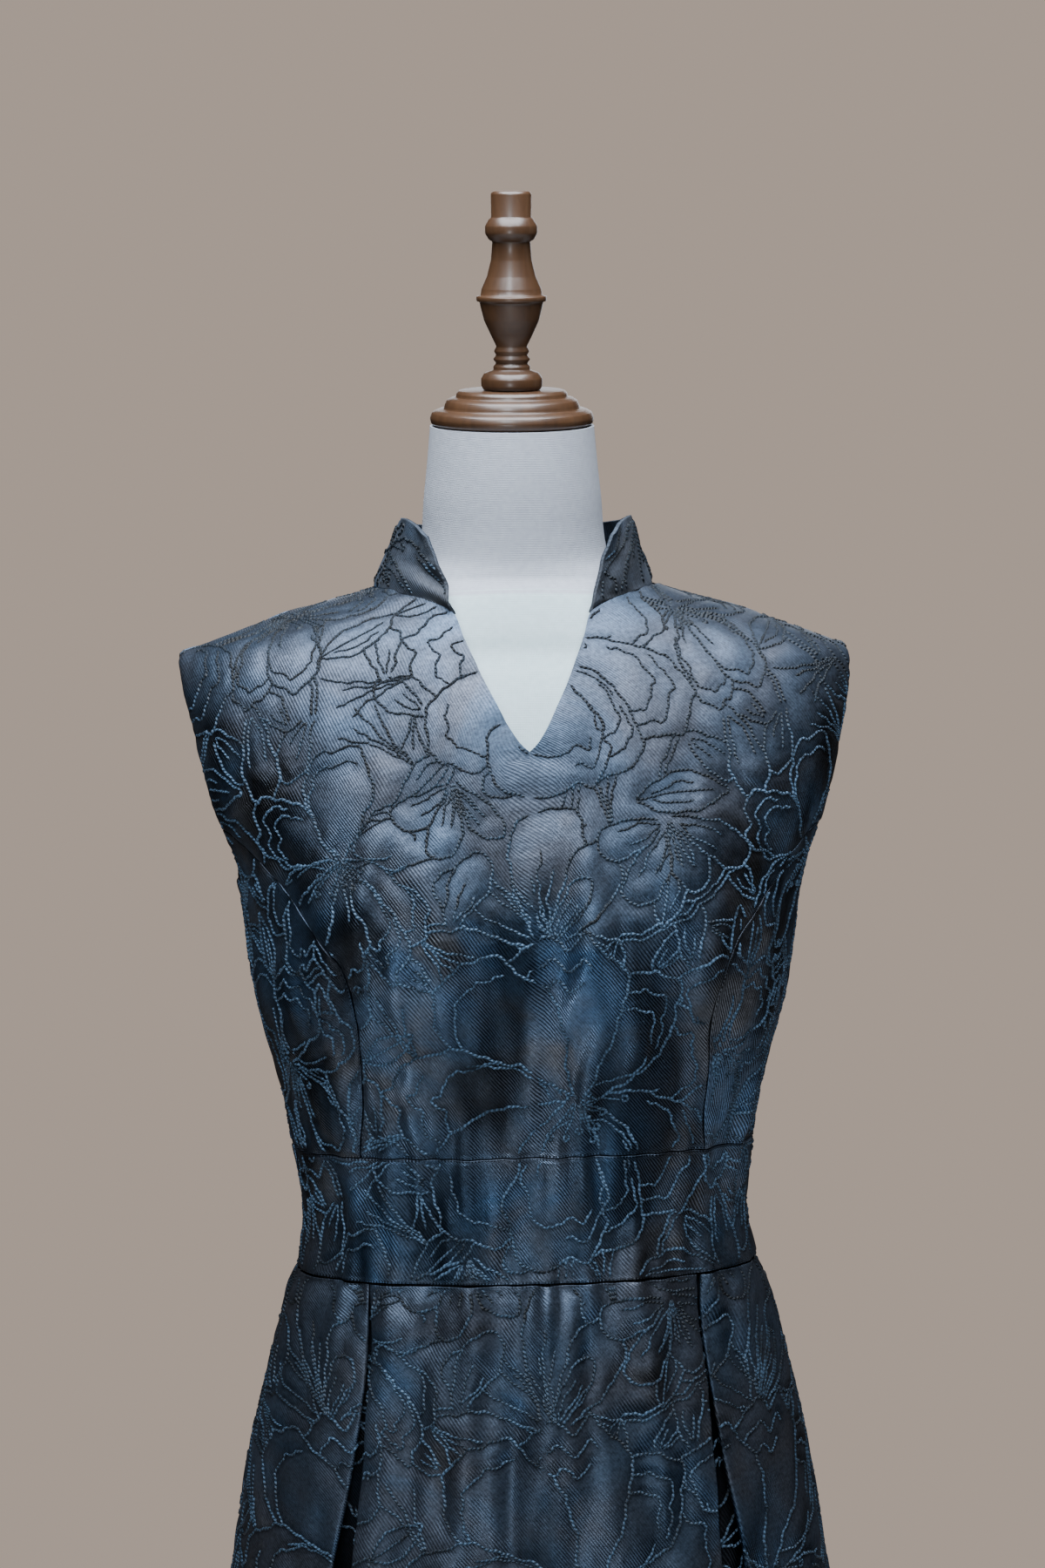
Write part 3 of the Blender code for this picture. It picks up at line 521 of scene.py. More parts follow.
def ragged(line, rng, size=1.0):
    """Lets a line wander a little to both sides, as sewn yarn does, but not at its ends."""
    travel = travelled(line)
    off = 0
    for period, amount in ((26, 0.7), (13, 0.45), (6.5, 0.28)):
        wave = 2 * math.pi * travel / (period * rng.uniform(0.8, 1.2))
        off = off + amount * np.sin(wave + rng.uniform(0, 6.28))
    fade = np.clip(np.minimum(travel, travel[-1] - travel) / 6, 0, 1)
    return line + sideways(line) * (off * fade * size)[:, None]


# Degrees of bend over the whole length of a motif, as radians
BEND_UNIT = 0.017
# A petal longer than this has more waves and more lines
LARGE_PETAL = 40
# Outlines as shares of the length along the motif, and of its width, or half its width for a petal
PETAL_OUTLINE = (
    *((0.02, 0.10), (0.14, 0.36), (0.30, 0.70), (0.46, 0.90), (0.60, 1.02), (0.74, 0.98), (0.87, 0.78)),
    *((0.96, 0.42), (0.95, 0.14), (1.0, -0.16), (0.97, -0.44)),
    *((0.89, -0.76), (0.75, -0.98), (0.60, -1.0), (0.45, -0.86), (0.28, -0.62), (0.13, -0.30), (0.02, -0.08)),
)
LEAF_OUTLINE = (
    *((0, 0), (0.2, 0.30), (0.45, 0.5), (0.7, 0.40), (0.9, 0.14), (1, 0)),
    *((0.86, -0.2), (0.66, -0.42), (0.4, -0.48), (0.16, -0.26), (0, 0)),
)
TONGUE_OUTLINE = (
    *((0, 0.12), (0.24, 0.30), (0.52, 0.46), (0.80, 0.47), (0.96, 0.24)),
    *((1, -0.06), (0.92, -0.35), (0.68, -0.5), (0.38, -0.36), (0.1, -0.14)),
)
# Points of each stem in mm, and how far apart its two lines are, or 0 for one line
STEMS = (
    (((160, -10), (158, 20), (150, 110), (143, 150), (147, 190), (156, 232), (160, 268)), 3.8),
    (((146, 172), (110, 190), (70, 186), (34, 170), (0, 150)), 3.6),
    (((147, 192), (184, 180), (222, 192), (252, 214), (276, 236)), 3.4),
    (((8, 30), (2, 60), (-6, 96), (-2, 130), (-18, 160)), 3.0),
    (((226, 130), (236, 96), (240, 60), (230, 20), (214, -10)), 3.2),
    (((34, 170), (46, 196), (34, 224)), 0),
)
# Place, turn in degrees, length, width, bend in degrees, and ribs
LEAVES = (
    (210, 186, 74, 58, 23, 20, 1),
    (186, 182, 250, 46, 20, 14, 1),
    (238, 72, 14, 58, 24, 20, 2),
    (236, 44, 168, 56, 23, 20, 2),
    (2, 66, 40, 54, 22, 14, 1),
    (-4, 92, 150, 52, 22, -14, 1),
    (-4, 112, 56, 46, 19, 16, 1),
    (262, 150, 84, 46, 19, 10, 1),
    (104, 18, 215, 58, 24, 16, 2),
    (200, 262, 8, 58, 25, -16, 2),
    (84, 236, 186, 52, 22, 16, 1),
)
# Petals: angle, length and width as shares of the flower's size, and bend in degrees
SIDE_FLOWER = (
    (150, 0.95, 0.56, 24),
    (32, 0.95, 0.54, -24),
    (92, 1.0, 0.62, 0),
    (208, 1.0, 0.44, 30),
    (-30, 1.0, 0.44, -30),
    (-58, 1.12, 0.42, -10),
    (-90, 1.18, 0.44, 8),
    (-122, 1.1, 0.42, 14),
)
ROUND_FLOWER = (
    (10, 0.95, 0.5, 20),
    (60, 0.95, 0.62, 0),
    (120, 1.0, 0.66, -20),
    (182, 0.9, 0.55, 24),
    (232, 1.05, 0.5, 20),
    (268, 1.12, 0.46, 6),
    (304, 1.05, 0.48, -20),
)
MAIN_FLOWER = (
    (14, 0.86, 0.62, 30),
    (-26, 0.92, 0.6, -24),
    (52, 0.84, 0.6, 30),
    (-68, 0.86, 0.6, -30),
    (104, 0.96, 0.66, -24),
    (142, 1.05, 0.62, -30),
    (178, 1.08, 0.6, 10),
    (212, 1.05, 0.6, 24),
    (250, 0.92, 0.6, 30),
)

SHAPES = []


def petal(place, turn, length, width, bend, rng):
    """A rounded petal with a wavy edge, parts of lines inside it, and veins that fan out from its base."""

    def off(amount):
        return rng.uniform(-amount, amount)

    half = width / 2
    bend = bend * BEND_UNIT / length
    rough = 0.06 if length > LARGE_PETAL else 0.03
    rows = [(x + off(rough * 0.6), y + off(rough * 1.6)) for x, y in PETAL_OUTLINE]
    outline = ragged(spline(placed([(length * x, half * y) for x, y in rows], place, turn, bend)), rng)
    lines = [(outline, 1.0)]
    if length > LARGE_PETAL:
        for scale in (0.86, 0.73)[: int(rng.integers(1, 3))]:
            first = rng.uniform(0.10, 0.34)
            part = outline[int(first * len(outline)) : int((first + rng.uniform(0.34, 0.54)) * len(outline))]
            lines.append((ragged(np.array(place) + (part - place) * scale, rng, 0.6), 0.85))
    for k in range(int(rng.integers(0, 3))):
        y = rng.uniform(0.35, 0.75) * (1 if k else -1)
        end = rng.uniform(0.34, 0.58)
        vein = [(0.14, 0), (0.24, y * 0.65), (end * 0.5 + 0.14, y), (end, y * 1.02)]
        vein = placed([(length * x, half * v) for x, v in vein], place, turn, bend)
        lines.append((ragged(spline(vein), rng, 0.7), 0.8))
    SHAPES.append((outline, lines, 1.0))


def stamens(place, rng, reach, turn):
    """A cluster of threads that end in small loops, with knots over their roots."""
    lines = []
    for k in range(7):
        angle = turn + 62 * (2 * k / 6 - 1) + rng.uniform(-8, 8)
        far = reach * rng.uniform(0.6, 1.2)
        path = [(reach * 0.1, 0), (far * 0.5, rng.uniform(-1.5, 1.5)), (far, rng.uniform(-2, 2))]
        lines.append((spline(placed(path, place, angle)), 0.75))
        turns = np.linspace(math.pi, 3 * math.pi, 7)
        loop = [(far + 1.9 + 1.9 * math.cos(a), 1.9 * math.sin(a)) for a in turns]
        lines.append((spline(placed(loop, place, angle), 1.7), 0.95))
    for _ in range(18):
        a, r = rng.uniform(0, 2 * math.pi), reach * math.sqrt(rng.uniform(0, 1)) * 0.5
        x, y = place[0] + r * math.cos(a), place[1] + r * math.sin(a)
        knot = [(x, y), (x + rng.uniform(-2, 2), y + 1.6), (x + rng.uniform(-2.5, 2.5), y - 1.0)]
        lines.append((spline(knot, 1.5), 1.1))
    SHAPES.append((None, lines, 1.0))


def flower(place, seed, petals, size, spread, reach):
    """Petals as rows of angle, length share, width share and bend, and a cluster of stamens over them."""
    rng = np.random.default_rng(seed)
    for angle, share, width, bend in petals:
        petal(place, angle, size * share, size * width, bend, rng)
    stamens(place, rng, size * reach, spread)


def leaf(place, turn, length, width, bend=0.0, ribs=0, tone=0.8):
    """A pointed leaf with a midrib and up to two ribs beside it."""
    bend = bend * BEND_UNIT / length
    rng = np.random.default_rng(int(abs(place[0] * 7 + place[1] * 3 + turn)))
    outline = spline(placed([(length * x, width * y) for x, y in LEAF_OUTLINE], place, turn, bend))
    outline = ragged(outline, rng, min(0.8, length / 60))
    middle = spline(placed([(0, 0), (length * 0.4, width * 0.03), (length * 0.84, 0)], place, turn, bend))
    lines = [(outline, 1.0), (middle, 0.8)]
    for side in (-1, 1)[:ribs]:
        rib = [(0.16, side * 0.06), (0.42, side * 0.24), (rng.uniform(0.6, 0.76), side * 0.2)]
        rib = placed([(length * x, width * y) for x, y in rib], place, turn, bend)
        lines.append((ragged(spline(rib), rng, 0.7), 0.75))
    SHAPES.append((outline, lines, tone))


def tongue(place, turn, length, width, bend, rng):
    """A long petal that hangs from its root, open there, with two short lines inside."""
    bend = bend * BEND_UNIT / length
    outline = spline(placed([(length * x, width * y) for x, y in TONGUE_OUTLINE], place, turn, bend))
    outline = ragged(outline, rng, 0.9)
    lines = [(outline, 1.0)]
    for y in (rng.uniform(0.08, 0.2), rng.uniform(-0.22, -0.1)):
        inner_end = length * rng.uniform(0.5, 0.74)
        inner = [(length * 0.1, 0), (length * 0.32, width * y), (inner_end, width * y * 1.2)]
        lines.append((ragged(spline(placed(inner, place, turn, bend)), rng, 0.8), 0.8))
    SHAPES.append((outline, lines, 0.8))


def bundle(place, turn, length, rng, count=4):
    """Veins that leave one point side by side and curve apart."""
    lines = []
    for k in range(count):
        off = 2 * k / (count - 1) - 1
        far = length * rng.uniform(0.75, 1.1)
        path = [
            (0, off * 0.7),
            (far * 0.35, off * 3),
            (far * 0.7, off * (5 + far * 0.06)),
            (far, off * (6 + far * 0.2)),
        ]
        lines.append((ragged(spline(placed(path, place, turn)), rng, 0.8), 0.85))
    SHAPES.append((None, lines, 0.0))


def stem(points, double=0.0):
    """A stem of one line, or of two lines so far apart with petal tone between them."""
    line = ragged(spline(points), np.random.default_rng(len(SHAPES)), 1.3)
    if not double:
        SHAPES.append((None, [(line, 1.0)], 0.0))
        return
    left, right = (line + way * sideways(line) * double / 2 for way in (1, -1))
    SHAPES.append((np.vstack([left, right[::-1]]), [(left, 0.9), (right, 0.9)], 0.4))


def draw_pattern():
    """One repeat of the print, from the back of the drawing to its front."""
    for points, double in STEMS:
        stem(points, double)
    rng = np.random.default_rng(21)
    for turn, length, width, bend in (
        (136, 72, 34, 26),
        (92, 84, 36, -12),
        (48, 70, 34, 28),
        (68, 46, 15, -20),
    ):
        tongue((146, 178), turn, length, width, bend, rng)
    bundle((147, 180), 108, 40, rng)
    for x, y, turn, length, width, bend in (
        (60, 180, 112, 56, 27, 24),
        (92, 188, 72, 50, 24, -20),
        (40, 172, 250, 50, 25, 18),
    ):
        tongue((x, y), turn, length, width, bend, rng)
    for x, y, turn, length, width, bend, ribs in LEAVES:
        leaf((x, y), turn, length, width, bend, ribs)
    flower((30, 226), 5, SIDE_FLOWER, 66, -80, 0.28)
    flower((262, 106), 9, ROUND_FLOWER, 66, 250, 0.28)
    for place, turns, length in (((218, 248), (200, 250, 296, 335), 52), ((98, 276), (225, 262, 305), 46)):
        for turn in turns:
            tongue(place, turn, length * rng.uniform(0.85, 1.1), length * 0.44, rng.uniform(-34, 34), rng)
        bundle(place, turns[1] + 24, length * 0.55, rng)
    flower((164, 84), 3, MAIN_FLOWER, 104, -70, 0.24)
    fill_gaps()


def fill_gaps():
    """Motifs that grow from the nearest line into the widest gaps, behind the shapes already drawn."""
    rng = np.random.default_rng(8)
    gx, gy = np.meshgrid(np.arange(2, TILE[0], 4), np.arange(2, TILE[1], 4))
    spots = np.stack([gx.ravel(), gy.ravel()], axis=1)
    gap = np.full(len(spots), 40.0)
    nearest = np.zeros((len(spots), 2))

    def note(points):
        for moved in neighbours(points):
            near = np.flatnonzero((spots > moved.min(0) - 40).all(1) & (spots < moved.max(0) + 40).all(1))
            if len(near):
                far = np.linalg.norm(spots[near][:, None] - moved[None], axis=2)
                at = far.argmin(1)
                far = far[np.arange(len(near)), at]
                better = far < gap[near]
                gap[near[better]] = far[better]
                nearest[near[better]] = moved[at[better]]

    for line, _ in visible_lines():
        note(line[::2])
    for _ in range(70):
        k = int(gap.argmax())
        if gap[k] < SMALLEST_GAP:
            break
        root = tuple(nearest[k])
        way = spots[k] - nearest[k]
        turn = math.degrees(math.atan2(way[1], way[0])) + rng.uniform(-20, 20)
        length = min(56, 2.2 * gap[k] + 8)
        if rng.uniform() < 0.55:
            tongue(root, turn, length, length * rng.uniform(0.42, 0.56), rng.uniform(-30, 30), rng)
        elif rng.uniform() < 0.6:
            bundle(root, turn, length * 0.9, rng, int(rng.integers(3, 5)))
        else:
            leaf(root, turn, length, length * rng.uniform(0.34, 0.46), rng.uniform(-26, 26), 0, 0.7)
        SHAPES.insert(0, SHAPES.pop())
        note(np.concatenate([line for line, _ in SHAPES[0][1]]))


def within(points, area):
    """Which points lie in an outline."""
    x, y = points[:, 0][:, None], points[:, 1][:, None]
    x1, y1 = area[:, 0][None], area[:, 1][None]
    x2, y2 = np.roll(area[:, 0], -1)[None], np.roll(area[:, 1], -1)[None]
    crossed = (y1 > y) != (y2 > y)
    rise = np.where(y2 == y1, 1e-9, y2 - y1)
    return (np.where(crossed, x < x1 + (y - y1) * (x2 - x1) / rise, False).sum(1) % 2).astype(bool)


def neighbours(area):
    return [area + TILE * (i, j) for i in (-1, 0, 1) for j in (-1, 0, 1)]


def visible_lines():
    """The lines of one repeat, cut where a later shape covers them."""
    covers = [[] if area is None else neighbours(area) for area, _, _ in SHAPES]
    made = []
    for k, (_, lines, _) in enumerate(SHAPES):
        for line, weight in lines:
            keep = np.ones(len(line), bool)
            for copies in covers[k + 1 :]:
                for area in copies:
                    if (area.min(0) < line.max(0)).all() and (area.max(0) > line.min(0)).all():
                        keep &= ~within(line, area)
            marks = np.flatnonzero(np.diff(np.concatenate([[0], keep.astype(int), [0]])))
            for first, last in zip(marks[::2], marks[1::2]):
                first, last = max(0, first - 1), min(len(line), last + 1)
                if last - first >= 3:
                    made.append((line[first:last], weight))
    return made


def tone_maps():
    """How much each place of the repeat is petal, and how far it lies from the nearest cord, in mm."""
    columns, rows = (TILE / PITCH).astype(int)
    across = (np.arange(columns) + 0.5) * TILE[0] / columns
    up = (np.arange(rows) + 0.5) * TILE[1] / rows
    points = np.stack(np.meshgrid(across, up), axis=-1).reshape(-1, 2)
    tone = np.zeros(len(points))
    for area, _, value in SHAPES:
        for moved in [] if area is None else neighbours(area):
            near = np.flatnonzero((points > moved.min(0)).all(1) & (points < moved.max(0)).all(1))
            if len(near):
                tone[near[within(points[near], moved)]] = value
    heavy = [line for line, weight in LINES if weight > 0.7]
    marks = np.concatenate([moved[::2] for line in heavy for moved in neighbours(line)])
    marks = marks[(marks > -20).all(1) & (marks < TILE + 20).all(1)]
    tree = KDTree(len(marks))
    for k, (x, y) in enumerate(marks):
        tree.insert((x, y, 0), k)
    tree.balance()
    depth = np.array([tree.find((x, y, 0))[2] for x, y in points])
    return tone.reshape(rows, columns), depth.reshape(rows, columns)


draw_pattern()
LINES = visible_lines()
TONE, DEPTH = tone_maps()


def read_map(grid, uv):
    """Reads a map of the repeat at places in mm."""
    rows, columns = grid.shape
    x, y = np.moveaxis((uv - ORIGIN) / TILE * (columns, rows) - 0.5, -1, 0)
    i, j = np.floor(y).astype(int), np.floor(x).astype(int)
    s, t = x - j, y - i
    one, two = j % columns, (j + 1) % columns
    low, high = (grid[k % rows, one] * (1 - s) + grid[k % rows, two] * s for k in (i, i + 1))
    return low * (1 - t) + high * t


# Cloth and cords


def unfolded(points, steps, start, fold=0):
    """A flat layout of a grid in mm that keeps its lengths as well as it can. The first fold rows of the
    first column stay on the centre line."""
    coarse = points[::steps, ::steps] * 1000
    uv = start[::steps, ::steps].copy()
    rows, columns = uv.shape[:2]
    pairs = []
    for di, dj, weight in ((0, 1, 1.0), (1, 0, 1.0), (1, 1, 0.5), (1, -1, 0.5)):
        a = (slice(0, rows - di), slice(max(0, -dj), columns - max(0, dj)))
        b = (slice(di, rows), slice(max(0, dj), columns - max(0, -dj)))
        pairs.append((a, b, np.linalg.norm(coarse[a] - coarse[b], axis=-1, keepdims=True), weight))
    for _ in range(1500):
        total, count = np.zeros_like(uv), np.zeros((rows, columns, 1))
        for a, b, rest, weight in pairs:
            gap = uv[b] - uv[a]
            now = np.linalg.norm(gap, axis=-1, keepdims=True)
            move = gap * (0.5 * (now - rest) / np.maximum(now, 1e-6))
            total[a] += weight * move
            total[b] -= weight * move
            count[a] += weight
            count[b] += weight
        uv += 0.9 * total / count
        uv[: fold // steps + 1 if fold else 0, 0, 0] = 0
    return curved_grid(uv, steps)


def normals_of(points):
    return unit(np.cross(np.gradient(points, axis=1), np.gradient(points, axis=0)))


# How an edge turns in: steps from the edge inward along the cloth, and how far below the face, in mm
SEAM_EDGE = ((0.28, 1.5), (0.30, 0.45), (0.42, 0.12), (0.75, 0.0), (1.5, 0.0))
FREE_EDGE = ((16.0, 1.45), (6.0, 1.40), (0.6, 1.30), (0.25, 0.75), (0.45, 0.2), (1.1, 0.0))
# The neckline and the armholes have the turn of the hem without its fold
OPEN_EDGE = FREE_EDGE[2:]
COLLAR_EDGE = ((0.3, 2.2), (0.05, 1.7), (0.0, 1.1), (0.05, 0.5), (0.3, 0.05))


def pads_of(edges):
    """How many rows or columns each edge adds, as np.pad takes them."""
    pads = [0 if e is None else len(e) - 1 for e in edges]
    return (pads[0], pads[1]), (pads[2], pads[3]), (0, 0)


def turned_in(points, normals, edges):
    """Pads a grid so that its edges turn in. edges gives steps or None for bottom, top, left and right."""
    across, up = unit(np.gradient(points, axis=1)), unit(np.gradient(points, axis=0))
    p, n, a, u = (np.pad(v, pads_of(edges), mode="edge") for v in (points, normals, across, up))
    rows, columns = p.shape[:2]
    back_row, back_column = np.zeros((rows, 1, 1)), np.zeros((1, columns, 1))
    down_row, down_column = np.zeros((rows, 1, 1)), np.zeros((1, columns, 1))
    for k, e in enumerate(edges):
        way = -1 if k % 2 else 1
        back, down = (back_row, down_row) if k < 2 else (back_column, down_column)
        for step, (inward, below) in enumerate(e or ()):
            at = -1 - step if k % 2 else step
            place = (at, 0, 0) if k < 2 else (0, at, 0)
            back[place], down[place] = way * inward / 1000, below / 1000
    return p + u * back_row + a * back_column - n * np.maximum(down_row, down_column)


def mesh_object(name, vertices, quads):
    """A smooth-shaded mesh that stays with the part."""
    mesh = bpy.data.meshes.new(name)
    vertices, quads = np.asarray(vertices, np.float32), np.asarray(quads, np.int32)
    mesh.vertices.add(len(vertices))
    mesh.vertices.foreach_set("co", vertices.ravel())
    mesh.loops.add(quads.size)
    mesh.loops.foreach_set("vertex_index", quads.ravel())
    mesh.polygons.add(len(quads))
    mesh.polygons.foreach_set("loop_start", np.arange(0, quads.size, quads.shape[1], dtype=np.int32))
    mesh.update(calc_edges=True)
    mesh.validate()
    mesh.shade_smooth()
    made = bpy.data.objects.new(name, mesh)
    bpy.context.scene.collection.objects.link(made)
    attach(made, "root")
    return made


def welded(name, points, quads, fineness=1e6):
    """A mesh whose equal points are joined, and which points it keeps. fineness is in steps a metre."""
    keys = np.round(points * fineness).astype(np.int64)
    _, index, inverse = np.unique(keys, axis=0, return_index=True, return_inverse=True)
    return mesh_object(name, points[index], inverse.reshape(-1)[quads]), index


def add_values(made, name, values):
    """One number for each vertex, for the materials."""
    layer = made.data.attributes.new(name, "FLOAT", "POINT")
    layer.data.foreach_set("value", values.astype(np.float32))


def add_uv(made, name, uv):
    """A UV map from one place for each vertex."""
    corner = np.empty(len(made.data.loops), np.int32)
    made.data.loops.foreach_get("vertex_index", corner)
    layer = made.data.uv_layers.new(name=name)
    layer.data.foreach_set("uv", uv[corner].astype(np.float32).ravel())


def grid_quads(rows, columns, first=0):
    a = first + (np.arange(rows - 1)[:, None] * columns + np.arange(columns - 1)[None]).ravel()
    return np.stack([a, a + 1, a + columns + 1, a + columns], axis=1)


def cloth(name, sheets, material):
    """One mesh from grids of points, with their place in the print and their tone. Equal points join."""
    points = np.concatenate([s["points"].reshape(-1, 3) for s in sheets])
    uv = np.concatenate([s["uv"].reshape(-1, 2) for s in sheets])
    quads, first = [], 0
    for s in sheets:
        rows, columns = s["points"].shape[:2]
        made = grid_quads(rows, columns, first)
        quads.append(made[:, ::-1] if s["flip"] else made)
        first += rows * columns
    made, index = welded(name, points, np.concatenate(quads))
    # the layers inside the pleats, which the cloth material darkens as painted shade
    inner = np.concatenate([s.get("inner", np.zeros(s["uv"].shape[:2])).ravel() for s in sheets])
    add_uv(made, "print", uv[index] / 1000)
    add_values(made, "petal", read_map(TONE, uv[index]))
    add_values(made, "inner", inner[index])
    # how far each point lies from the nearest cord, for the painted shade beside the cords
    add_values(made, "away", read_map(DEPTH, uv[index]))
    made.data.materials.append(material)
    return made


def in_order(grid, flip):
    """A grid, with its columns the other way round for a mirrored sheet."""
    return grid[:, ::-1] if flip else grid


def kept_runs(keep):
    """The stretches of three or more points that are kept, as pairs of indices."""
    marks = np.flatnonzero(np.diff(np.concatenate([[0], keep.astype(int), [0]])))
    return [(a, b) for a, b in zip(marks[::2], marks[1::2]) if b - a >= 3]


# The cords: radius, how far they lie above the cloth, how deep their ends sink and how far the yarn
# strays, in metres
CORD_RADIUS = 0.00080
CORD_LIFT = 0.0002
CORD_SINK = 0.0003
YARN_WANDER = 0.00016
# Across the cord and out of the cloth, in radii
CORD_PROFILE = ((-1.15, -0.35), (0.0, 1.0), (1.15, -0.35))
# How far cords stay off the edges, in mm
CORD_MARGIN = 1.6
HEM_MARGIN = 2.0


class CordMaker:
    """Lays the raised cords of the print over sheets and joins them into one mesh."""

    def __init__(self):
        self.vertices, self.quads, self.runs, self.facing = [], [], [], []
        self.count, self.painted_dimming = 0, 0.0

    def strips(self, centre, normal, weights):
        """A low ridge along a line, with how far along, across and facing up each point is."""
        side = unit(np.cross(unit(np.gradient(centre, axis=0)), normal))
        radius = (weights * CORD_RADIUS)[:, None]
        ring = np.stack([centre + side * radius * a + normal * radius * b for a, b in CORD_PROFILE], axis=1)
        ring[0], ring[-1] = centre[0] - normal[0] * CORD_SINK, centre[-1] - normal[-1] * CORD_SINK
        self.vertices.append(ring.reshape(-1, 3))
        run = np.stack(np.broadcast_arrays(travelled(centre)[:, None], np.array([[-1.0, 0.0, 1.0]])), axis=-1)
        self.runs.append(run.reshape(-1, 2))
        # how far each point faces up, plus any painted dimming, for the cords' painted shade
        self.facing.append(np.repeat(normal[:, 2] + self.painted_dimming, 3))
        self.quads.append(grid_quads(len(centre), 3, self.count)[:, ::-1])
        self.count += len(centre) * 3

    def lay(self, points, uv, margin, hidden=None, factor=4):
        """Cords on a grid whose places in the print are uv. margin keeps them off the edges, in mm."""
        rows, columns = uv.shape[:2]
        low, high = uv.reshape(-1, 2).min(0), uv.reshape(-1, 2).max(0)
        lines, weights = [], []
        first = np.floor((low - ORIGIN) / TILE).astype(int) - 1
        last = np.ceil((high - ORIGIN) / TILE).astype(int) + 1
        for tile in itertools.product(range(first[0], last[0]), range(first[1], last[1])):
            for line, weight in LINES:
                moved = line + TILE * tile + ORIGIN
                if (moved.max(0) > low).all() and (moved.min(0) < high).all():
                    lines.append(moved)
                    weights.append(weight)
        i, j, miss = self.locate(uv, np.concatenate(lines), factor)
        pitch_up, pitch_across = (np.linalg.norm(np.diff(uv, axis=k), axis=-1).mean() for k in (0, 1))
        good = miss < 0.4
        good &= (i >= margin[0] / pitch_up) & (i <= rows - 1 - margin[1] / pitch_up)
        good &= (j >= margin[2] / pitch_across) & (j <= columns - 1 - margin[3] / pitch_across)
        if hidden is not None:
            good &= ~hidden(i, j)
        facing = unit(self.sample(normals_of(points), i, j))
        across = unit(self.sample(np.gradient(points, axis=1), i, j))
        where = self.sample(points, i, j)
        rng = np.random.default_rng(rows * 7 + columns)
        for way in (across, np.cross(facing, across)):
            where = where + way * rng.normal(0, YARN_WANDER, (len(where), 1))
        start = 0
        for line, weight in zip(lines, weights):
            for a, b in kept_runs(good[start : start + len(line)]):
                cut = slice(start + a, start + b)
                beat = 1 + rng.uniform(-0.28, 0.28, b - a)
                self.strips(where[cut] + facing[cut] * CORD_LIFT, facing[cut], weight * beat)
            start += len(line)

    @staticmethod
    def sample(grid, i, j):
        """Values of a grid at fractional rows and columns."""
        rows, columns = grid.shape[:2]
        i, j = np.clip(i, 0, rows - 1.001), np.clip(j, 0, columns - 1.001)
        a, b = np.floor(i).astype(int), np.floor(j).astype(int)
        s, t = (i - a)[:, None], (j - b)[:, None]
        low = grid[a, b] * (1 - t) + grid[a, b + 1] * t
        high = grid[a + 1, b] * (1 - t) + grid[a + 1, b + 1] * t
        return low * (1 - s) + high * s

    def locate(self, uv, targets, factor):
        """Fractional rows and columns of places in the print, and how far off each one is, in mm."""
        rows, columns = uv.shape[:2]
        gi, gj = np.meshgrid(np.arange(0, rows, factor), np.arange(0, columns, factor), indexing="ij")
        seeds = uv[gi, gj].reshape(-1, 2)
        near = []
        for part in np.split(targets, range(4000, len(targets), 4000)):
            gaps = (part**2).sum(1)[:, None] - 2 * part @ seeds.T + (seeds**2).sum(1)[None]
            near.append(gaps.argmin(1))
        near = np.concatenate(near)
        i, j = gi.ravel()[near].astype(float), gj.ravel()[near].astype(float)
        for _ in range(14):
            ci, cj = np.clip(i, 0, rows - 1.001), np.clip(j, 0, columns - 1.001)
            a, b = np.floor(ci).astype(int), np.floor(cj).astype(int)
            du, dv = uv[a + 1, b] - uv[a, b], uv[a, b + 1] - uv[a, b]
            here = self.sample(uv, ci, cj) + du * (i - ci)[:, None] + dv * (j - cj)[:, None]
            miss = targets - here
            det = du[:, 0] * dv[:, 1] - du[:, 1] * dv[:, 0]
            det = np.where(np.abs(det) < 1e-9, 1e-9, det)
            i = i + np.clip((miss[:, 0] * dv[:, 1] - miss[:, 1] * dv[:, 0]) / det, -6, 6)
            j = j + np.clip((du[:, 0] * miss[:, 1] - du[:, 1] * miss[:, 0]) / det, -6, 6)
        return i, j, np.linalg.norm(miss, axis=1)

    def finish(self, name, material):
        made = mesh_object(name, np.concatenate(self.vertices), np.concatenate(self.quads))
        add_uv(made, "run", np.concatenate(self.runs))
        add_values(made, "upness", np.concatenate(self.facing))
        made.data.materials.append(material)


# Materials


def feed(tree, value, slot):
    """Gives a slot a number, a colour, or another node's output."""
    if isinstance(value, Wire):
        tree.links.new(value.socket, slot)
    elif isinstance(value, tuple) and len(slot.default_value) == 4:
        slot.default_value = (*value, 1)
    else:
        slot.default_value = value


class Wire:
    """A value in a shader. Arithmetic with it adds the nodes for it."""

    def __init__(self, tree, socket):
        self.tree, self.socket = tree, socket

    def maths(self, operation, *values):
        node = self.tree.nodes.new("ShaderNodeMath")
        node.operation = operation
        for slot, value in zip(node.inputs, values):
            feed(self.tree, value, slot)
        return Wire(self.tree, node.outputs[0])

    def __add__(self, other):
        return self.maths("ADD", self, other)

    def __radd__(self, other):
        return self.maths("ADD", other, self)

    def __sub__(self, other):
        return self.maths("SUBTRACT", self, other)

    def __rsub__(self, other):
        return self.maths("SUBTRACT", other, self)

    def __mul__(self, other):
        return self.maths("MULTIPLY", self, other)

    def __rpow__(self, other):
        return self.maths("POWER", other, self)

    def sine(self):
        return self.maths("SINE", self)

    def at_least(self, low):
        return self.maths("MAXIMUM", self, low)

    def clamped(self, low, high):
        return self.maths("MINIMUM", self.at_least(low), high)


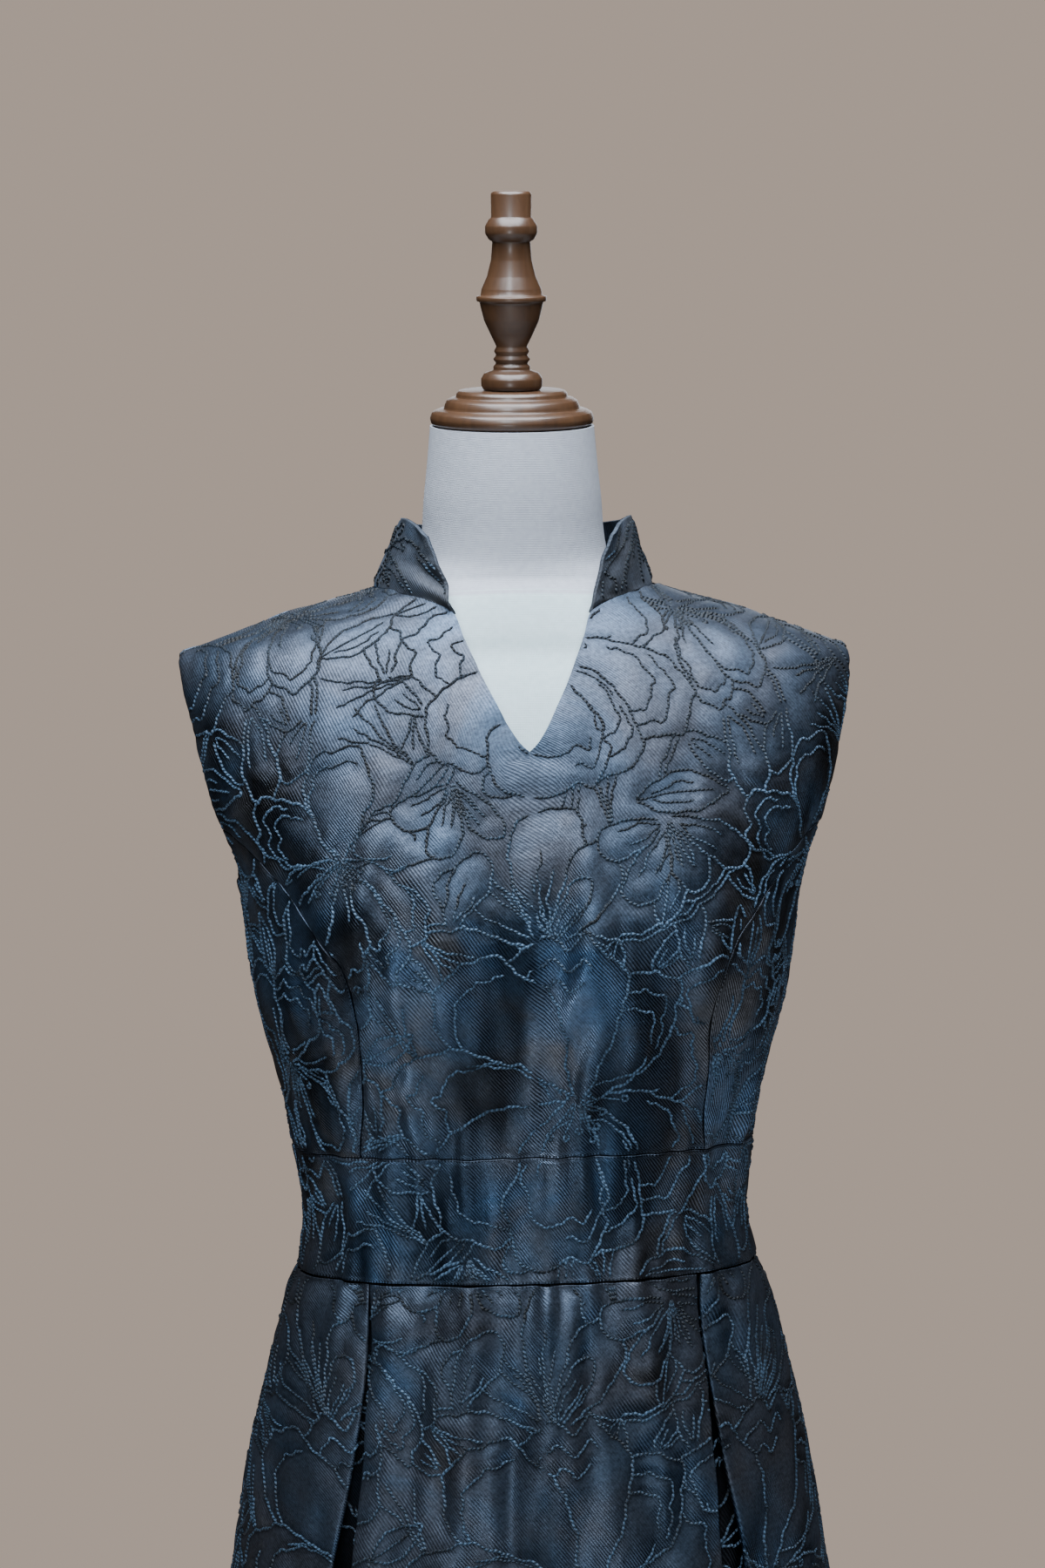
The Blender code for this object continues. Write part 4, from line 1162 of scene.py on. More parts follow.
class Shader:
    """A material, and short ways to add its nodes."""

    def __init__(self, name):
        self.made = bpy.data.materials.new(name)
        self.made.use_nodes = True
        self.tree = self.made.node_tree

    def add(self, kind, output=0, **values):
        """A node. Values are settings of the node or, with _ for a space, what its inputs are fed."""
        node = self.tree.nodes.new(kind)
        for key, value in values.items():
            if hasattr(node, key):
                setattr(node, key, value)
            else:
                feed(self.tree, value, node.inputs[key.replace("_", " ")])
        return Wire(self.tree, node.outputs[output])

    def attribute(self, name):
        return self.add("ShaderNodeAttribute", "Fac", attribute_name=name)

    def noise(self, place, scale, detail=2.0, rough=0.5, warp=0.0):
        return self.add(
            "ShaderNodeTexNoise", Vector=place, Scale=scale, Detail=detail, Roughness=rough, Distortion=warp
        )

    def stretched(self, place, scale):
        return self.add("ShaderNodeMapping", Vector=place, Scale=scale)

    def parts(self, vector):
        split = self.add("ShaderNodeSeparateXYZ", Vector=vector).socket.node
        return [Wire(self.tree, output) for output in split.outputs]

    def mix(self, factor, one, two):
        node = self.tree.nodes.new("ShaderNodeMix")
        node.data_type = "RGBA"
        for slot, value in zip((node.inputs[0], node.inputs[6], node.inputs[7]), (factor, one, two)):
            feed(self.tree, value, slot)
        return Wire(self.tree, node.outputs[2])

    def scaled(self, colour, share):
        node = self.tree.nodes.new("ShaderNodeVectorMath")
        node.operation = "SCALE"
        feed(self.tree, colour, node.inputs[0])
        feed(self.tree, share, node.inputs["Scale"])
        return Wire(self.tree, node.outputs[0])

    def finish(self, **values):
        for key, value in values.items():
            feed(self.tree, value, self.tree.nodes["Principled BSDF"].inputs[key.replace("_", " ")])
        return self.made


def jacquard_material(name="jacquard_cloth", metal=0.88, roughness=0.37, painted_brightness=1.0):
    s = Shader(name)
    place = s.add("ShaderNodeUVMap", uv_map="print")
    u, v, _ = s.parts(place)
    petal_share = s.attribute("petal")
    # 1 where the cloth hangs, and near 0 where it faces up
    hangs = 1 - (s.parts(s.add("ShaderNodeNewGeometry", "Normal"))[2] * 4).clamped(0, 0.85)

    # dull and clear blue in clouds, both greyer and paler where the cloth faces up, as painted light from
    # above
    fine = s.noise(place, 46, 4, 0.6)
    dull = s.mix(hangs, (0.059, 0.067, 0.087), s.mix(fine, (0.046, 0.051, 0.061), (0.080, 0.083, 0.093)))
    clear = s.mix(hangs, (0.056, 0.078, 0.113), s.mix(fine, (0.027, 0.060, 0.114), (0.052, 0.098, 0.168)))
    blue = petal_share * 0.22 + (s.noise(place, 13, 4, 0.55, 0.6) - 0.40) * 3.4
    colour = s.mix(blue.clamped(0, 1), dull, clear)

    # slanting lines: a twill 1.8 mm apart on the ground, and a flatter and finer satin on the petals
    twill = (u * 2840 + v * 2030).sine() * (1 - petal_share)
    satin = (u * 3300 + v * 2600).sine() * 0.6 * petal_share
    weave = twill + satin + s.noise(place, 900, 2, 0.6) * 1.2
    speck = (s.noise(place, 430, 2, 0.7) - 0.5) * 1.6
    shade = (weave * (hangs * 0.22 + 0.08) + speck + 0.85).at_least(0.15)

    # painted shade next to the cords and in the pleats, with uneven upright streaks of painted sheen, lighter
    # and darker, where the cloth hangs
    painted_cord_shade = 2.718 ** (s.attribute("away") * -0.42) * 0.62
    sheen = s.noise(s.stretched(place, (24, 7, 1)), 1, 2, 0.5, 0.5)
    swing = ((sheen - 0.5) * 5.5).clamped(-0.72, 0.9)
    shade = shade * (1 - painted_cord_shade) * (1 + swing * hangs) * (painted_brightness - s.attribute("inner") * 0.86)

    pucker = s.noise(s.stretched(place, (1, 0.4, 1)), 62, 2, 0.45, 0.4)
    broad = s.add("ShaderNodeBump", Strength=0.22, Distance=0.003, Height=pucker)
    strength = hangs * 0.36 + 0.14
    threads = s.add("ShaderNodeBump", Strength=strength, Distance=0.0005, Height=weave, Normal=broad)
    return s.finish(
        Base_Color=s.scaled(colour, shade),
        Metallic=metal,
        Roughness=roughness + 0.2 - petal_share * 0.05 - hangs * 0.2,
        Specular_IOR_Level=0.5,
        Anisotropic=0.2,
        Tangent=s.add("ShaderNodeTangent", direction_type="UV_MAP", uv_map="print"),
        Normal=threads,
    )


def cord_material():
    s = Shader("cord_yarn")
    along, across, _ = s.parts(s.add("ShaderNodeUVMap", uv_map="run"))
    twist = (along * 2400 + across * 1.7).sine()
    # painted light on the yarn: lighter in some stretches than in others as painted glints, and darker
    # towards its flanks and hardly lit where it faces up, as painted shade
    painted_glint_patches = ((s.noise(s.add("ShaderNodeTexCoord", "Object"), 75) - 0.5) * 3.2 + 0.88).at_least(0.15)
    lit = (1 - across * across * 0.6) * (twist * 0.36 + 0.64) * painted_glint_patches
    dim = (1.2 - s.attribute("upness") * 3.5).clamped(0.14, 1.2)
    return s.finish(
        Base_Color=s.scaled(s.mix(lit, (0.002, 0.005, 0.009), (0.070, 0.130, 0.210)), dim),
        Roughness=0.62,
        Specular_IOR_Level=0.3,
        Normal=s.add("ShaderNodeBump", Strength=0.7, Distance=0.0006, Height=twist),
    )


def linen_material():
    s = Shader("linen_cover")
    place = s.add("ShaderNodeTexCoord", "Object")
    x, y, z = s.parts(place)
    threads = (z * 6300).sine() + (x.maths("ARCTAN2", x, y) * 0.1 * 6300).sine()
    slub = s.noise(place, 260, 3)
    chest = s.mix(slub, (0.335, 0.425, 0.45), (0.435, 0.535, 0.56))
    # the neck's colour is darker and less cyan than the chest's, a painted shade
    upper = s.mix(slub, (0.285, 0.305, 0.35), (0.39, 0.41, 0.455))
    return s.finish(
        Base_Color=s.mix(s.attribute("neck"), chest, upper),
        Roughness=0.86,
        Normal=s.add("ShaderNodeBump", Strength=0.35, Distance=0.0004, Height=threads * 0.25 + slub),
    )


def walnut_material():
    s = Shader("walnut_wood")
    grain = s.noise(s.stretched(s.add("ShaderNodeTexCoord", "Object"), (60, 60, 9)), 1.6, 6, 0.65, 1.2)
    return s.finish(
        Base_Color=s.mix(grain, (0.018, 0.008, 0.004), (0.082, 0.038, 0.016)),
        Roughness=0.38,
        Coat_Weight=0.18,
        Coat_Roughness=0.22,
    )


JACQUARD = jacquard_material()
# the collar's copy is less metallic and rougher, and its colour is scaled down as painted shade
COLLAR_JACQUARD = jacquard_material("jacquard_collar", 0.35, 0.60, 0.72)
CORD = cord_material()
LINEN = linen_material()
WALNUT = walnut_material()

# Bodice and waistband

# How far the cloth swells between cords, in metres
PUFF = 0.0015
# In the print, in mm: the waist seam, the waistband's side and width, and the centre back of the skirt
PRINT_WAIST, PRINT_SIDE, BAND_WIDTH, PRINT_BACK = 999, 222, 73, 148
cords = {name: CordMaker() for name in ("front", "back", "skirt_front", "skirt_back_r", "skirt_back_l")}


def surface(grid):
    """Points of a piece on the outside of the dress, with its creases."""
    share, height = grid[..., 0], height_of(grid[..., 1])
    points = outside(share, height)
    front = np.clip(np.cos(math.pi * share) * 4 + 0.6, 0, 1)
    out = soft_relief(points) + front * crease(points[..., 0], height, FRONT_CREASES)
    out = out + (1 - front) * crease(points[..., 0], height, BACK_CREASES) * 0.8
    return eased(points + outward(share, height) * kept_out(out + 0.0012, 0.0014)[..., None])


def eased(points):
    """Lets the bend of the shoulders run out softly. The edges of the piece stay."""
    across = np.arange(points.shape[1])
    inside = np.clip(np.minimum(across, across[::-1]) / 8, 0, 1)[None, :, None]
    share = 0.5 * ramp(points[1:-1, :, 2:], 1.295, 0.02) * inside
    for _ in range(120):
        points[1:-1] += share * ((points[:-2] + points[2:]) / 2 - points[1:-1])
    return points


def kept_out(out, deepest):
    """Lets no crease go deeper than so much, with a soft end."""
    return -deepest + np.logaddexp(0, (out + deepest) / 0.0008) * 0.0008


def puffed(points, uv, flip):
    """The cloth swells a little between the cords that draw it together."""
    lift = PUFF * (1 - np.exp(-read_map(DEPTH, uv) / 5.0))
    return points + in_order(normals_of(in_order(points, flip)), flip) * lift[..., None]


def uv_of(points, fold=0):
    angle = np.arctan2(points[..., 0], -points[..., 1])
    return unfolded(points, FINE, np.stack([angle * 145, points[..., 2] * 1000], axis=-1), fold)


def padded_uv(uv, edges):
    return np.pad(uv, pads_of(edges), mode="edge")


def margins(edges, flip, bottom=CORD_MARGIN):
    """How far cords stay off the edges that turn in, in mm."""
    sizes = [0 if e is None else CORD_MARGIN for e in edges]
    left, right = (sizes[3], sizes[2]) if flip else (sizes[2], sizes[3])
    return bottom if sizes[0] else 0, sizes[1], left, right


def make_panel(grid, side, edges, kit, uv):
    """A sheet of bodice or waistband on one side, with cords. uv is its place in the print at +X."""
    flip = side < 0
    uv = uv * (side, 1)
    points = puffed(surface(grid * (side, 1)), uv, flip)
    kit.lay(in_order(points, flip), in_order(uv, flip), margins(edges, flip))
    sheet = turned_in(points, normals_of(points) * side, edges)
    return {"points": sheet, "uv": padded_uv(uv, edges), "flip": flip}


def area_of(points):
    a, b = points[1:, 1:] - points[:-1, :-1], points[1:, :-1] - points[:-1, 1:]
    return float(np.linalg.norm(np.cross(a, b), axis=-1).sum() / 2)


def declare(piece, node, sheets):
    area = sum(area_of(s["points"]) for s in sheets)
    uv = np.concatenate([s["uv"].reshape(-1, 2) for s in sheets]) / 1000
    width, length = (round(float(side), 3) for side in uv.max(0) - uv.min(0))
    area = min(max(area, 0.31 * width * length), 0.995 * width * length)
    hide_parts(node)


def build_front():
    """The front on both sides of its fold. Returns its place in the print."""
    grid = filled(front_edges)
    uv = uv_of(surface(grid), 10 * FINE)
    # rows up to the tip of the V lie on the fold
    fold = slice(10 * FINE + 3)
    edges = [SEAM_EDGE, SEAM_EDGE, None, OPEN_EDGE]
    sheets = []
    for side, _ in SIDES:
        sheet = make_panel(grid, side, edges, cords["front"], uv)
        sheet["points"][fold, 0, 0] = 0
        sheets.append(sheet)
    sheets[1]["points"][fold, 0] = sheets[0]["points"][fold, 0]
    declare(cloth("bodice_front_cloth", sheets, JACQUARD), "bodice_front", sheets)
    return uv


def build_bodice():
    seam = build_front()[: 11 * FINE + 1, -1]
    for name, edges_of, rows, edges, kit in (
        ("bodice_side_front", side_front_edges, 11, [SEAM_EDGE, OPEN_EDGE, SEAM_EDGE, SEAM_EDGE], "front"),
        ("bodice_back", back_edges, 8, [SEAM_EDGE] * 4, "back"),
    ):
        grid = filled(edges_of)
        uv = uv_of(surface(grid))
        # the print goes on over the seam
        uv += seam.mean(0) - uv[: rows * FINE + 1, 0].mean(0)
        seam = uv[:, -1]
        for side, tag in SIDES:
            sheet = make_panel(grid, side, edges, cords[kit], uv)
            node = f"{name}_{tag}"
            declare(cloth(node + "_cloth", [sheet], JACQUARD), node, [sheet])


def build_waistband():
    for node, first, last, side, kit in (
        ("waistband_front", -0.5, 0.5, 1, "front"),
        ("waistband_back_r", 0.5, 1.0, 1, "back"),
        ("waistband_back_l", 0.5, 1.0, -1, "back"),
    ):
        grid = waistband_grid(first, last, 120 if first < 0 else 60)
        points = surface(grid * (side, 1))
        around = np.linalg.norm(np.diff(points, axis=1), axis=-1).mean(0)
        u = np.concatenate([[0], np.cumsum(around)]) * 1000
        u = u - u[-1] / 2 if first < 0 else u + PRINT_SIDE
        uv = np.stack(np.meshgrid(u, np.linspace(0, BAND_WIDTH, len(points))), axis=-1) + (0, PRINT_WAIST)
        sheet = make_panel(grid, side, [SEAM_EDGE] * 4, cords[kit], uv)
        declare(cloth(node + "_cloth", [sheet], JACQUARD), node, [sheet])


# Collar

# Height and place in the print, in mm, and half the thickness in metres
COLLAR_HEIGHT, COLLAR_PRINT, COLLAR_HALF = 42, (84, 1352), 0.0011
collar_rise_at = smooth(COLLAR_RISE, 1)
collar_lean_at = smooth(COLLAR_RISE, 2)


def collar_sheet(side):
    """The middle of the collar's thickness, rows from its foot up, and its length round the neck."""
    neckline, end = neckline_curve()
    back = flat([(0.5 + 0.5 * k / 20, NECKLINE_HEIGHT) for k in range(1, 21)])
    line = np.vstack([neckline[end:], back])
    points = outside(line[:, 0], height_of(line[:, 1]))
    travel = travelled(points)
    middle = []
    for row in np.linspace(0, 1, 40):
        start = COLLAR_SLANT * row
        share = np.linspace(0, 1, 160)
        foot = along_at((start + (1 - start) * share) * travel[-1], travel, points)
        lean = collar_lean_at(share) * row**1.3
        lift = 0.0005 + collar_rise_at(share) * row
        middle.append(foot + unit(-foot * (1, 1, 0)) * lean[:, None] + np.array([0, 0, 1.0]) * lift[:, None])
    return np.array(middle) * (side, 1, 1), travel[-1]


def crumpled(along, high, side):
    """How far the collar's soft ends stand out, in metres. The -X one is rolled at its foot."""
    near = np.exp(-((along / 30) ** 2))
    out = 0.8 * near * np.sin(along / 4.2 + high / 6.0 + 0.9 * np.sin(high / 4.5))
    out += 0.4 * np.sin(along / 10 - high / 9 + side)
    if side < 0:
        # depth in mm, how high its middle lies above the foot, and half its width
        foot = 5.5 + 0.09 * along
        for depth, middle, width in ((3.4, foot, 4.2), (-1.8, foot + 9.5, 4.0), (1.6, 27 - 0.5 * along, 4.0)):
            out += near * depth * np.exp(-(((high - middle) / width) ** 2))
    return 0.001 * out * np.clip(high / 3, 0, 1)


def build_collar():
    for side, tag in SIDES:
        flip = side < 0
        middle, length = collar_sheet(side)
        middle[:, -1, 0] = CENTRE_GAP * side
        columns = np.linspace(0, length * 1000, middle.shape[1])
        u, v = np.meshgrid(columns, np.linspace(0, COLLAR_HEIGHT, len(middle)))
        middle = middle + normals_of(middle) * side * crumpled(u, v, side)[..., None]
        middle[:, -1, 0] = CENTRE_GAP * side
        normals = normals_of(middle) * side
        outer, inner = (middle + way * normals * COLLAR_HALF for way in (1, -1))
        uv = np.stack([u * side * 0.97, v], axis=-1) + COLLAR_PRINT
        edges = [COLLAR_EDGE] * 4
        sheet = {"points": turned_in(outer, normals, edges), "uv": padded_uv(uv, edges), "flip": flip}
        facing = {"points": inner, "uv": uv, "flip": not flip}
        piece = cloth(f"collar_{tag}_cloth", [sheet, facing], COLLAR_JACQUARD)
        kit = cords["back"]
        # the collar's cords are darkened with painted shade
        kit.painted_dimming = 0.3
        kit.lay(in_order(outer, flip), in_order(uv, flip), [CORD_MARGIN] * 4)
        kit.painted_dimming = 0.0
        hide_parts(f"collar_{tag}")
        area = round(length * 0.086, 4)


# Skirt

PLEAT_CURVES = [smooth(PLEAT_LEVELS, column) for column in range(1, 5)]
SKIRT_HEIGHTS = np.linspace(HEM_HEIGHT, WAISTBAND_BOTTOM - 0.0004, 200)
# Steps along half a skirt row: each turn and layer of the pleat, the cloth before it, and the cloth after it
TURN, LAYER, CENTRE, PANEL = 6, 10, 40, 64
# The layers inside the pleat, where no cord shows, as first and last columns of two stretches
HIDDEN_COLUMNS = (
    CENTRE + 3,
    CENTRE + TURN * 2 + LAYER + 1,
    CENTRE + TURN * 2 + LAYER * 2,
    CENTRE + TURN * 4 + LAYER * 3 - 4,
)


def hairpin(place, depth, heading, deeper):
    radius = abs(deeper) / 2
    turn = np.linspace(0, math.pi, TURN + 1)
    across = place + heading * radius * np.sin(turn)
    return np.stack([across, depth + deeper / 2 * (1 - np.cos(turn))], axis=1)


def section_line(height, back):
    """A quarter of the skirt's outside at a height, from the centre to the side, and the ways inward."""
    share = np.linspace(0, 0.5, 240)
    points = outside(1 - share if back else share, np.full(240, height))[:, :2]
    return points, sideways(points) * (-1 if back else 1), travelled(points)


def skirt_row(height, back, side=1):
    """Half a skirt section on the +X side: points, and metres along the cloth from the centre."""
    points, inward, travel = section_line(height, back)
    edge, opening, depth, spacing = (float(at(height)) for at in PLEAT_CURVES)
    if not back:
        # the pleats hang open a little more, and the -X one swings out
        edge += 0.009 * ramp(height, 0.97, -0.15) * (side < 0)
        opening += 0.005 * ramp(height, 0.94, -0.12)
    edge = float(np.interp(edge, points[:, 0], travel))
    turn, far, end = spacing / 2, edge + opening, travel[-1]
    pins = [
        hairpin(edge - turn, 0, 1, spacing),
        hairpin(edge - depth, spacing, -1, spacing),
        hairpin(far + depth, 2 * spacing, 1, -spacing),
        hairpin(far + turn, spacing, -1, -spacing),
    ]
    parts = [np.linspace((0, 0), (edge - turn, 0), CENTRE + 1)[:-1], pins[0]]
    for one, two in zip(pins, pins[1:]):
        parts += [np.linspace(one[-1], two[0], LAYER + 1)[1:-1], two]
    parts.append(np.linspace((far + turn, 0), (end, 0), PANEL + 1)[1:])
    path = np.vstack(parts)
    row = along_at(path[:, 0], travel, points) + unit(along_at(path[:, 0], travel, inward)) * path[:, 1:]
    return np.hstack([row, np.full((len(row), 1), height)]), travelled(path)


# Folds that hang in the skirt: distance from the centre at the waist and at the hem, width, depth in mm,
# and the heights where it begins and is full
SKIRT_FOLDS = (
    (0.030, 0.050, 22, -3.0, 0.99, 0.80),
    (-0.045, -0.070, 20, 2.4, 0.99, 0.82),
    (0.118, 0.190, 24, -5.0, 0.98, 0.80),
    (-0.118, -0.190, 22, -2.4, 0.98, 0.84),
    (0.130, 0.225, 18, 3.0, 0.96, 0.75),
    (-0.132, -0.232, 18, 1.8, 0.96, 0.78),
    (0.004, 0.000, 30, 2.0, 0.95, 0.70),
    (-0.074, -0.098, 9, -2.6, 0.995, 0.93),
    (-0.052, -0.078, 13, 2.4, 0.995, 0.92),
    (-0.016, -0.026, 10, -2.6, 0.995, 0.92),
    (0.012, 0.020, 14, 2.2, 0.995, 0.90),
    (0.056, 0.090, 10, -2.8, 0.995, 0.92),
    (0.078, 0.120, 11, 2.0, 0.995, 0.90),
)


def skirt_creases(points):
    x, height = points[..., 0], points[..., 2]
    t = (WAISTBAND_BOTTOM - height) / (WAISTBAND_BOTTOM - HEM_HEIGHT)
    total = np.zeros(x.shape)
    for k, (top, low, width, depth, begins, full) in enumerate(SKIRT_FOLDS):
        line = top + (low - top) * t + 0.004 * np.sin(height * 14 + k)
        spread = width * 0.001 * (0.7 + 0.9 * t)
        total += depth * 0.001 * ramp(height, begins, full - begins) * np.exp(-(((x - line) / spread) ** 2))
    gathered = np.exp(-(((0.999 - height) / 0.02) ** 2)) * (height < 0.9985)
    return total + gathered * 0.0008 * np.sin(x * 260)


def skirt_sheet(name, back, side):
    """One half of the front skirt, or one back piece, with its pleat and its cords."""
    # flip is true where the columns run clockwise, seen from above
    flip = (side > 0) == back
    sign = -1 if flip else 1
    rows = [skirt_row(height, back, side) for height in SKIRT_HEIGHTS]
    base, along = (np.array(values) for values in zip(*rows))
    slope = travelled(base[:, -1, ::2]) * 1000
    points = base * (side, 1, 1)
    if back:
        points[:, 0, 0] = 0.0003 * side
    out = skirt_creases(points) + soft_relief(points)
    out = kept_out(out + 0.001, 0.0012 + 0.030 * ramp(points[..., 2], 0.99, -0.25))
    # all layers of a pleat move together
    radii = np.stack([half_width_at(points[..., 2]), front_depth_at(points[..., 2])], axis=-1)
    points[..., :2] += unit(points[..., :2] / radii**2) * out[..., None]
    if not back:
        points[:, 0, 0] = 0
    up = np.broadcast_to((PRINT_WAIST - slope[-1] + slope)[:, None], along.shape)
    uv = np.stack([along * 1000 * sign + (PRINT_BACK if back else 0), up], axis=-1)
    # the folded layers of the pleat stay flat, and are darkened with painted shade
    flat_share = np.ones(points.shape[1])
    flat_share[CENTRE + 2 : -PANEL - 2] = 0
    flat_share = np.convolve(np.pad(flat_share, 4, mode="edge"), np.ones(9) / 9, mode="valid")
    points = points + (puffed(points, uv, flip) - points) * flat_share[None, :, None]
    # painted shade: the inner layers of the pleat are darkened in the cloth material
    inner = np.zeros(uv.shape[:2] + (1,))
    inner[:, CENTRE + TURN : -PANEL - TURN] = 1
    edges = [FREE_EDGE, SEAM_EDGE, SEAM_EDGE if back else None, SEAM_EDGE]
    sheet = turned_in(points, normals_of(points) * sign, edges)
    if not back:
        sheet[:, 0, 0] = 0

    def hidden(_, j):
        j = points.shape[1] - 1 - j if flip else j
        a, b, c, d = HIDDEN_COLUMNS
        return ((j > a) & (j < b)) | ((j > c) & (j < d))

    margin = margins(edges, flip, HEM_MARGIN)
    cords[name].lay(in_order(points, flip), in_order(uv, flip), margin, hidden, 3)
    inner = padded_uv(inner, edges)[..., 0]
    return {"points": sheet, "uv": padded_uv(uv, edges), "flip": flip, "inner": inner}


def build_skirt():
    for name, back, sides, above in (
        ("skirt_front", False, (1, -1), "waistband_front_cloth"),
        ("skirt_back_r", True, (1,), "waistband_back_r_cloth"),
        ("skirt_back_l", True, (-1,), "waistband_back_l_cloth"),
    ):
        sheets = [skirt_sheet(name, back, side) for side in sides]
        if not back:
            sheets[1]["points"][:, 0] = sheets[0]["points"][:, 0]
        declare(cloth(name + "_cloth", sheets, JACQUARD), name, sheets)


# Turned wood, each piece a list of height above its foot and radius
CAP_PROFILE = (
    (0.0000, 0.0470),
    (0.0015, 0.0490),
    (0.0045, 0.0496),
    (0.0078, 0.0484),
    (0.0095, 0.0455),
    (0.0100, 0.0412),
    (0.0120, 0.0408),
    (0.0150, 0.0395),
    (0.0166, 0.0368),
    (0.0170, 0.0338),
    (0.0192, 0.0335),
    (0.0210, 0.0318),
)
FINIAL_PROFILE = (
    (0.0000, 0.0172),
    (0.0024, 0.0185),
    (0.0067, 0.0186),
    (0.0101, 0.0165),
    (0.0119, 0.0110),
    (0.0139, 0.0112),
    (0.0159, 0.0094),
    (0.0183, 0.0113),
    (0.0207, 0.0094),
    (0.0231, 0.0108),
    (0.0258, 0.0092),
    (0.0332, 0.0128),
    (0.0414, 0.0166),
    (0.0500, 0.0188),
    (0.0524, 0.0192),
    (0.0529, 0.0211),
    (0.0558, 0.0211),
    (0.0564, 0.0186),
    (0.0601, 0.0180),
    (0.0673, 0.0148),
    (0.0770, 0.0123),
    (0.0880, 0.0114),
    (0.0890, 0.0134),
    (0.0928, 0.0157),
    (0.0972, 0.0157),
    (0.1015, 0.0132),
    (0.1022, 0.0120),
    (0.1159, 0.0122),
    (0.1176, 0.0110),
)
POLE_PROFILE = (
    (0.0000, 0.0150),
    (0.0150, 0.0215),
    (0.0300, 0.0170),
    (0.0600, 0.0150),
    (0.5600, 0.0150),
    (0.6000, 0.0200),
    (0.6200, 0.0150),
)
BASE_PROFILE = (
    (0.0000, 0.1900),
    (0.0120, 0.1900),
    (0.0180, 0.1840),
    (0.0190, 0.1620),
    (0.0260, 0.1600),
    (0.0300, 0.1540),
    (0.0340, 0.0560),
    (0.0460, 0.0480),
)
PLATE_RADIUS = 0.052
PLATE_THICKNESS = 0.012
SEAT_GAP = 0.0003
NECK_TOP = Vector((0, (0.0394 - 0.0600) / 2, 1.5040))
NECK_TILT = math.radians(12.0)
PLATE_FOOT = 0.7400 - SEAT_GAP - PLATE_THICKNESS


def turned(node, profile, place, tilt=0.0, segments=72):
    """A turned piece with softened profile corners that stands for a node."""
    rows = np.array([(0.0, 0.0004), *profile, (profile[-1][0], 0.0004)], float)
    rings = [rows[0]]
    for before, row, after in zip(rows, rows[1:], rows[2:]):
        for way in (before - row, after - row):
            long = np.linalg.norm(way)
            rings.append(row + way / max(long, 1e-9) * min(0.0004, 0.3 * long))
    rings = np.array([*rings, rows[-1]])
    angle = np.linspace(0, 2 * math.pi, segments, endpoint=False)
    x, y = rings[:, 1:] * np.cos(angle)[None], rings[:, 1:] * np.sin(angle)[None]
    z = rings[:, :1] + 0 * angle[None]
    c, t = math.cos(tilt), math.sin(tilt)
    points = np.stack([x, y * c - z * t, y * t + z * c], axis=-1) + np.array(place)
    points = np.concatenate([points, points[:, :1]], axis=1).reshape(-1, 3)
    made, _ = welded(node + "_turned", points, grid_quads(len(rings), segments + 1), 1e7)
    made.data.set_sharp_from_angle(angle=math.radians(50))
    made.data.materials.append(WALNUT)
    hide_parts(node)


# Height, and how far the form's side, and its front and back, lie under the dress
FORM_EASE = (
    (0.7400, 0.0600, 0.0500),
    (0.7424, 0.0480, 0.0390),
    (0.7500, 0.0380, 0.0310),
    (0.7700, 0.0300, 0.0262),
    (0.8200, 0.0230, 0.0225),
    (0.8800, 0.0160, 0.0180),
    (0.9300, 0.0140, 0.0150),
    (0.9700, 0.0130, 0.0120),
    (0.9990, 0.0100, 0.0095),
    (1.0300, 0.0060, 0.0060),
    (1.0720, 0.0060, 0.0055),
    (1.1400, 0.0060, 0.0050),
    (1.2000, 0.0070, 0.0045),
    (1.2400, 0.0100, 0.0040),
    (1.2800, 0.0140, 0.0038),
    (1.3200, 0.0140, 0.0040),
    (1.3500, 0.0135, 0.0058),
    (1.3620, 0.0115, 0.0078),
    (1.3690, 0.0086, 0.0078),
    (1.3770, 0.0046, 0.0054),
    (1.3900, 0.0032, 0.0043),
    (1.4050, 0.0028, 0.0043),
)
# The rings of the torso
FORM_HEIGHTS = (
    *(0.740, 0.7425, 0.749, 0.762, 0.79, 0.82, 0.86, 0.90, 0.94, 0.975, 1.01, 1.04, 1.07, 1.10, 1.13),
    *(1.16, 1.19, 1.22, 1.25, 1.28, 1.31, 1.335, 1.352, 1.362, 1.369, 1.377, 1.386, 1.395, 1.402),
)
# Height, half width, depth in front and behind, and forward tilt in degrees
NECK_SECTIONS = (
    (1.4070, 0.0770, 0.0545, 0.0660, 0.0),
    (1.4130, 0.0675, 0.0530, 0.0625, 1.0),
    (1.4230, 0.0590, 0.0525, 0.0590, 3.0),
    (1.4400, 0.0555, 0.0540, 0.0555, 6.0),
    (1.4600, 0.0540, 0.0565, 0.0510, 9.0),
    (1.4800, 0.0518, 0.0585, 0.0460, 11.0),
    (1.5040, 0.0496, 0.0600, 0.0394, 12.0),
)


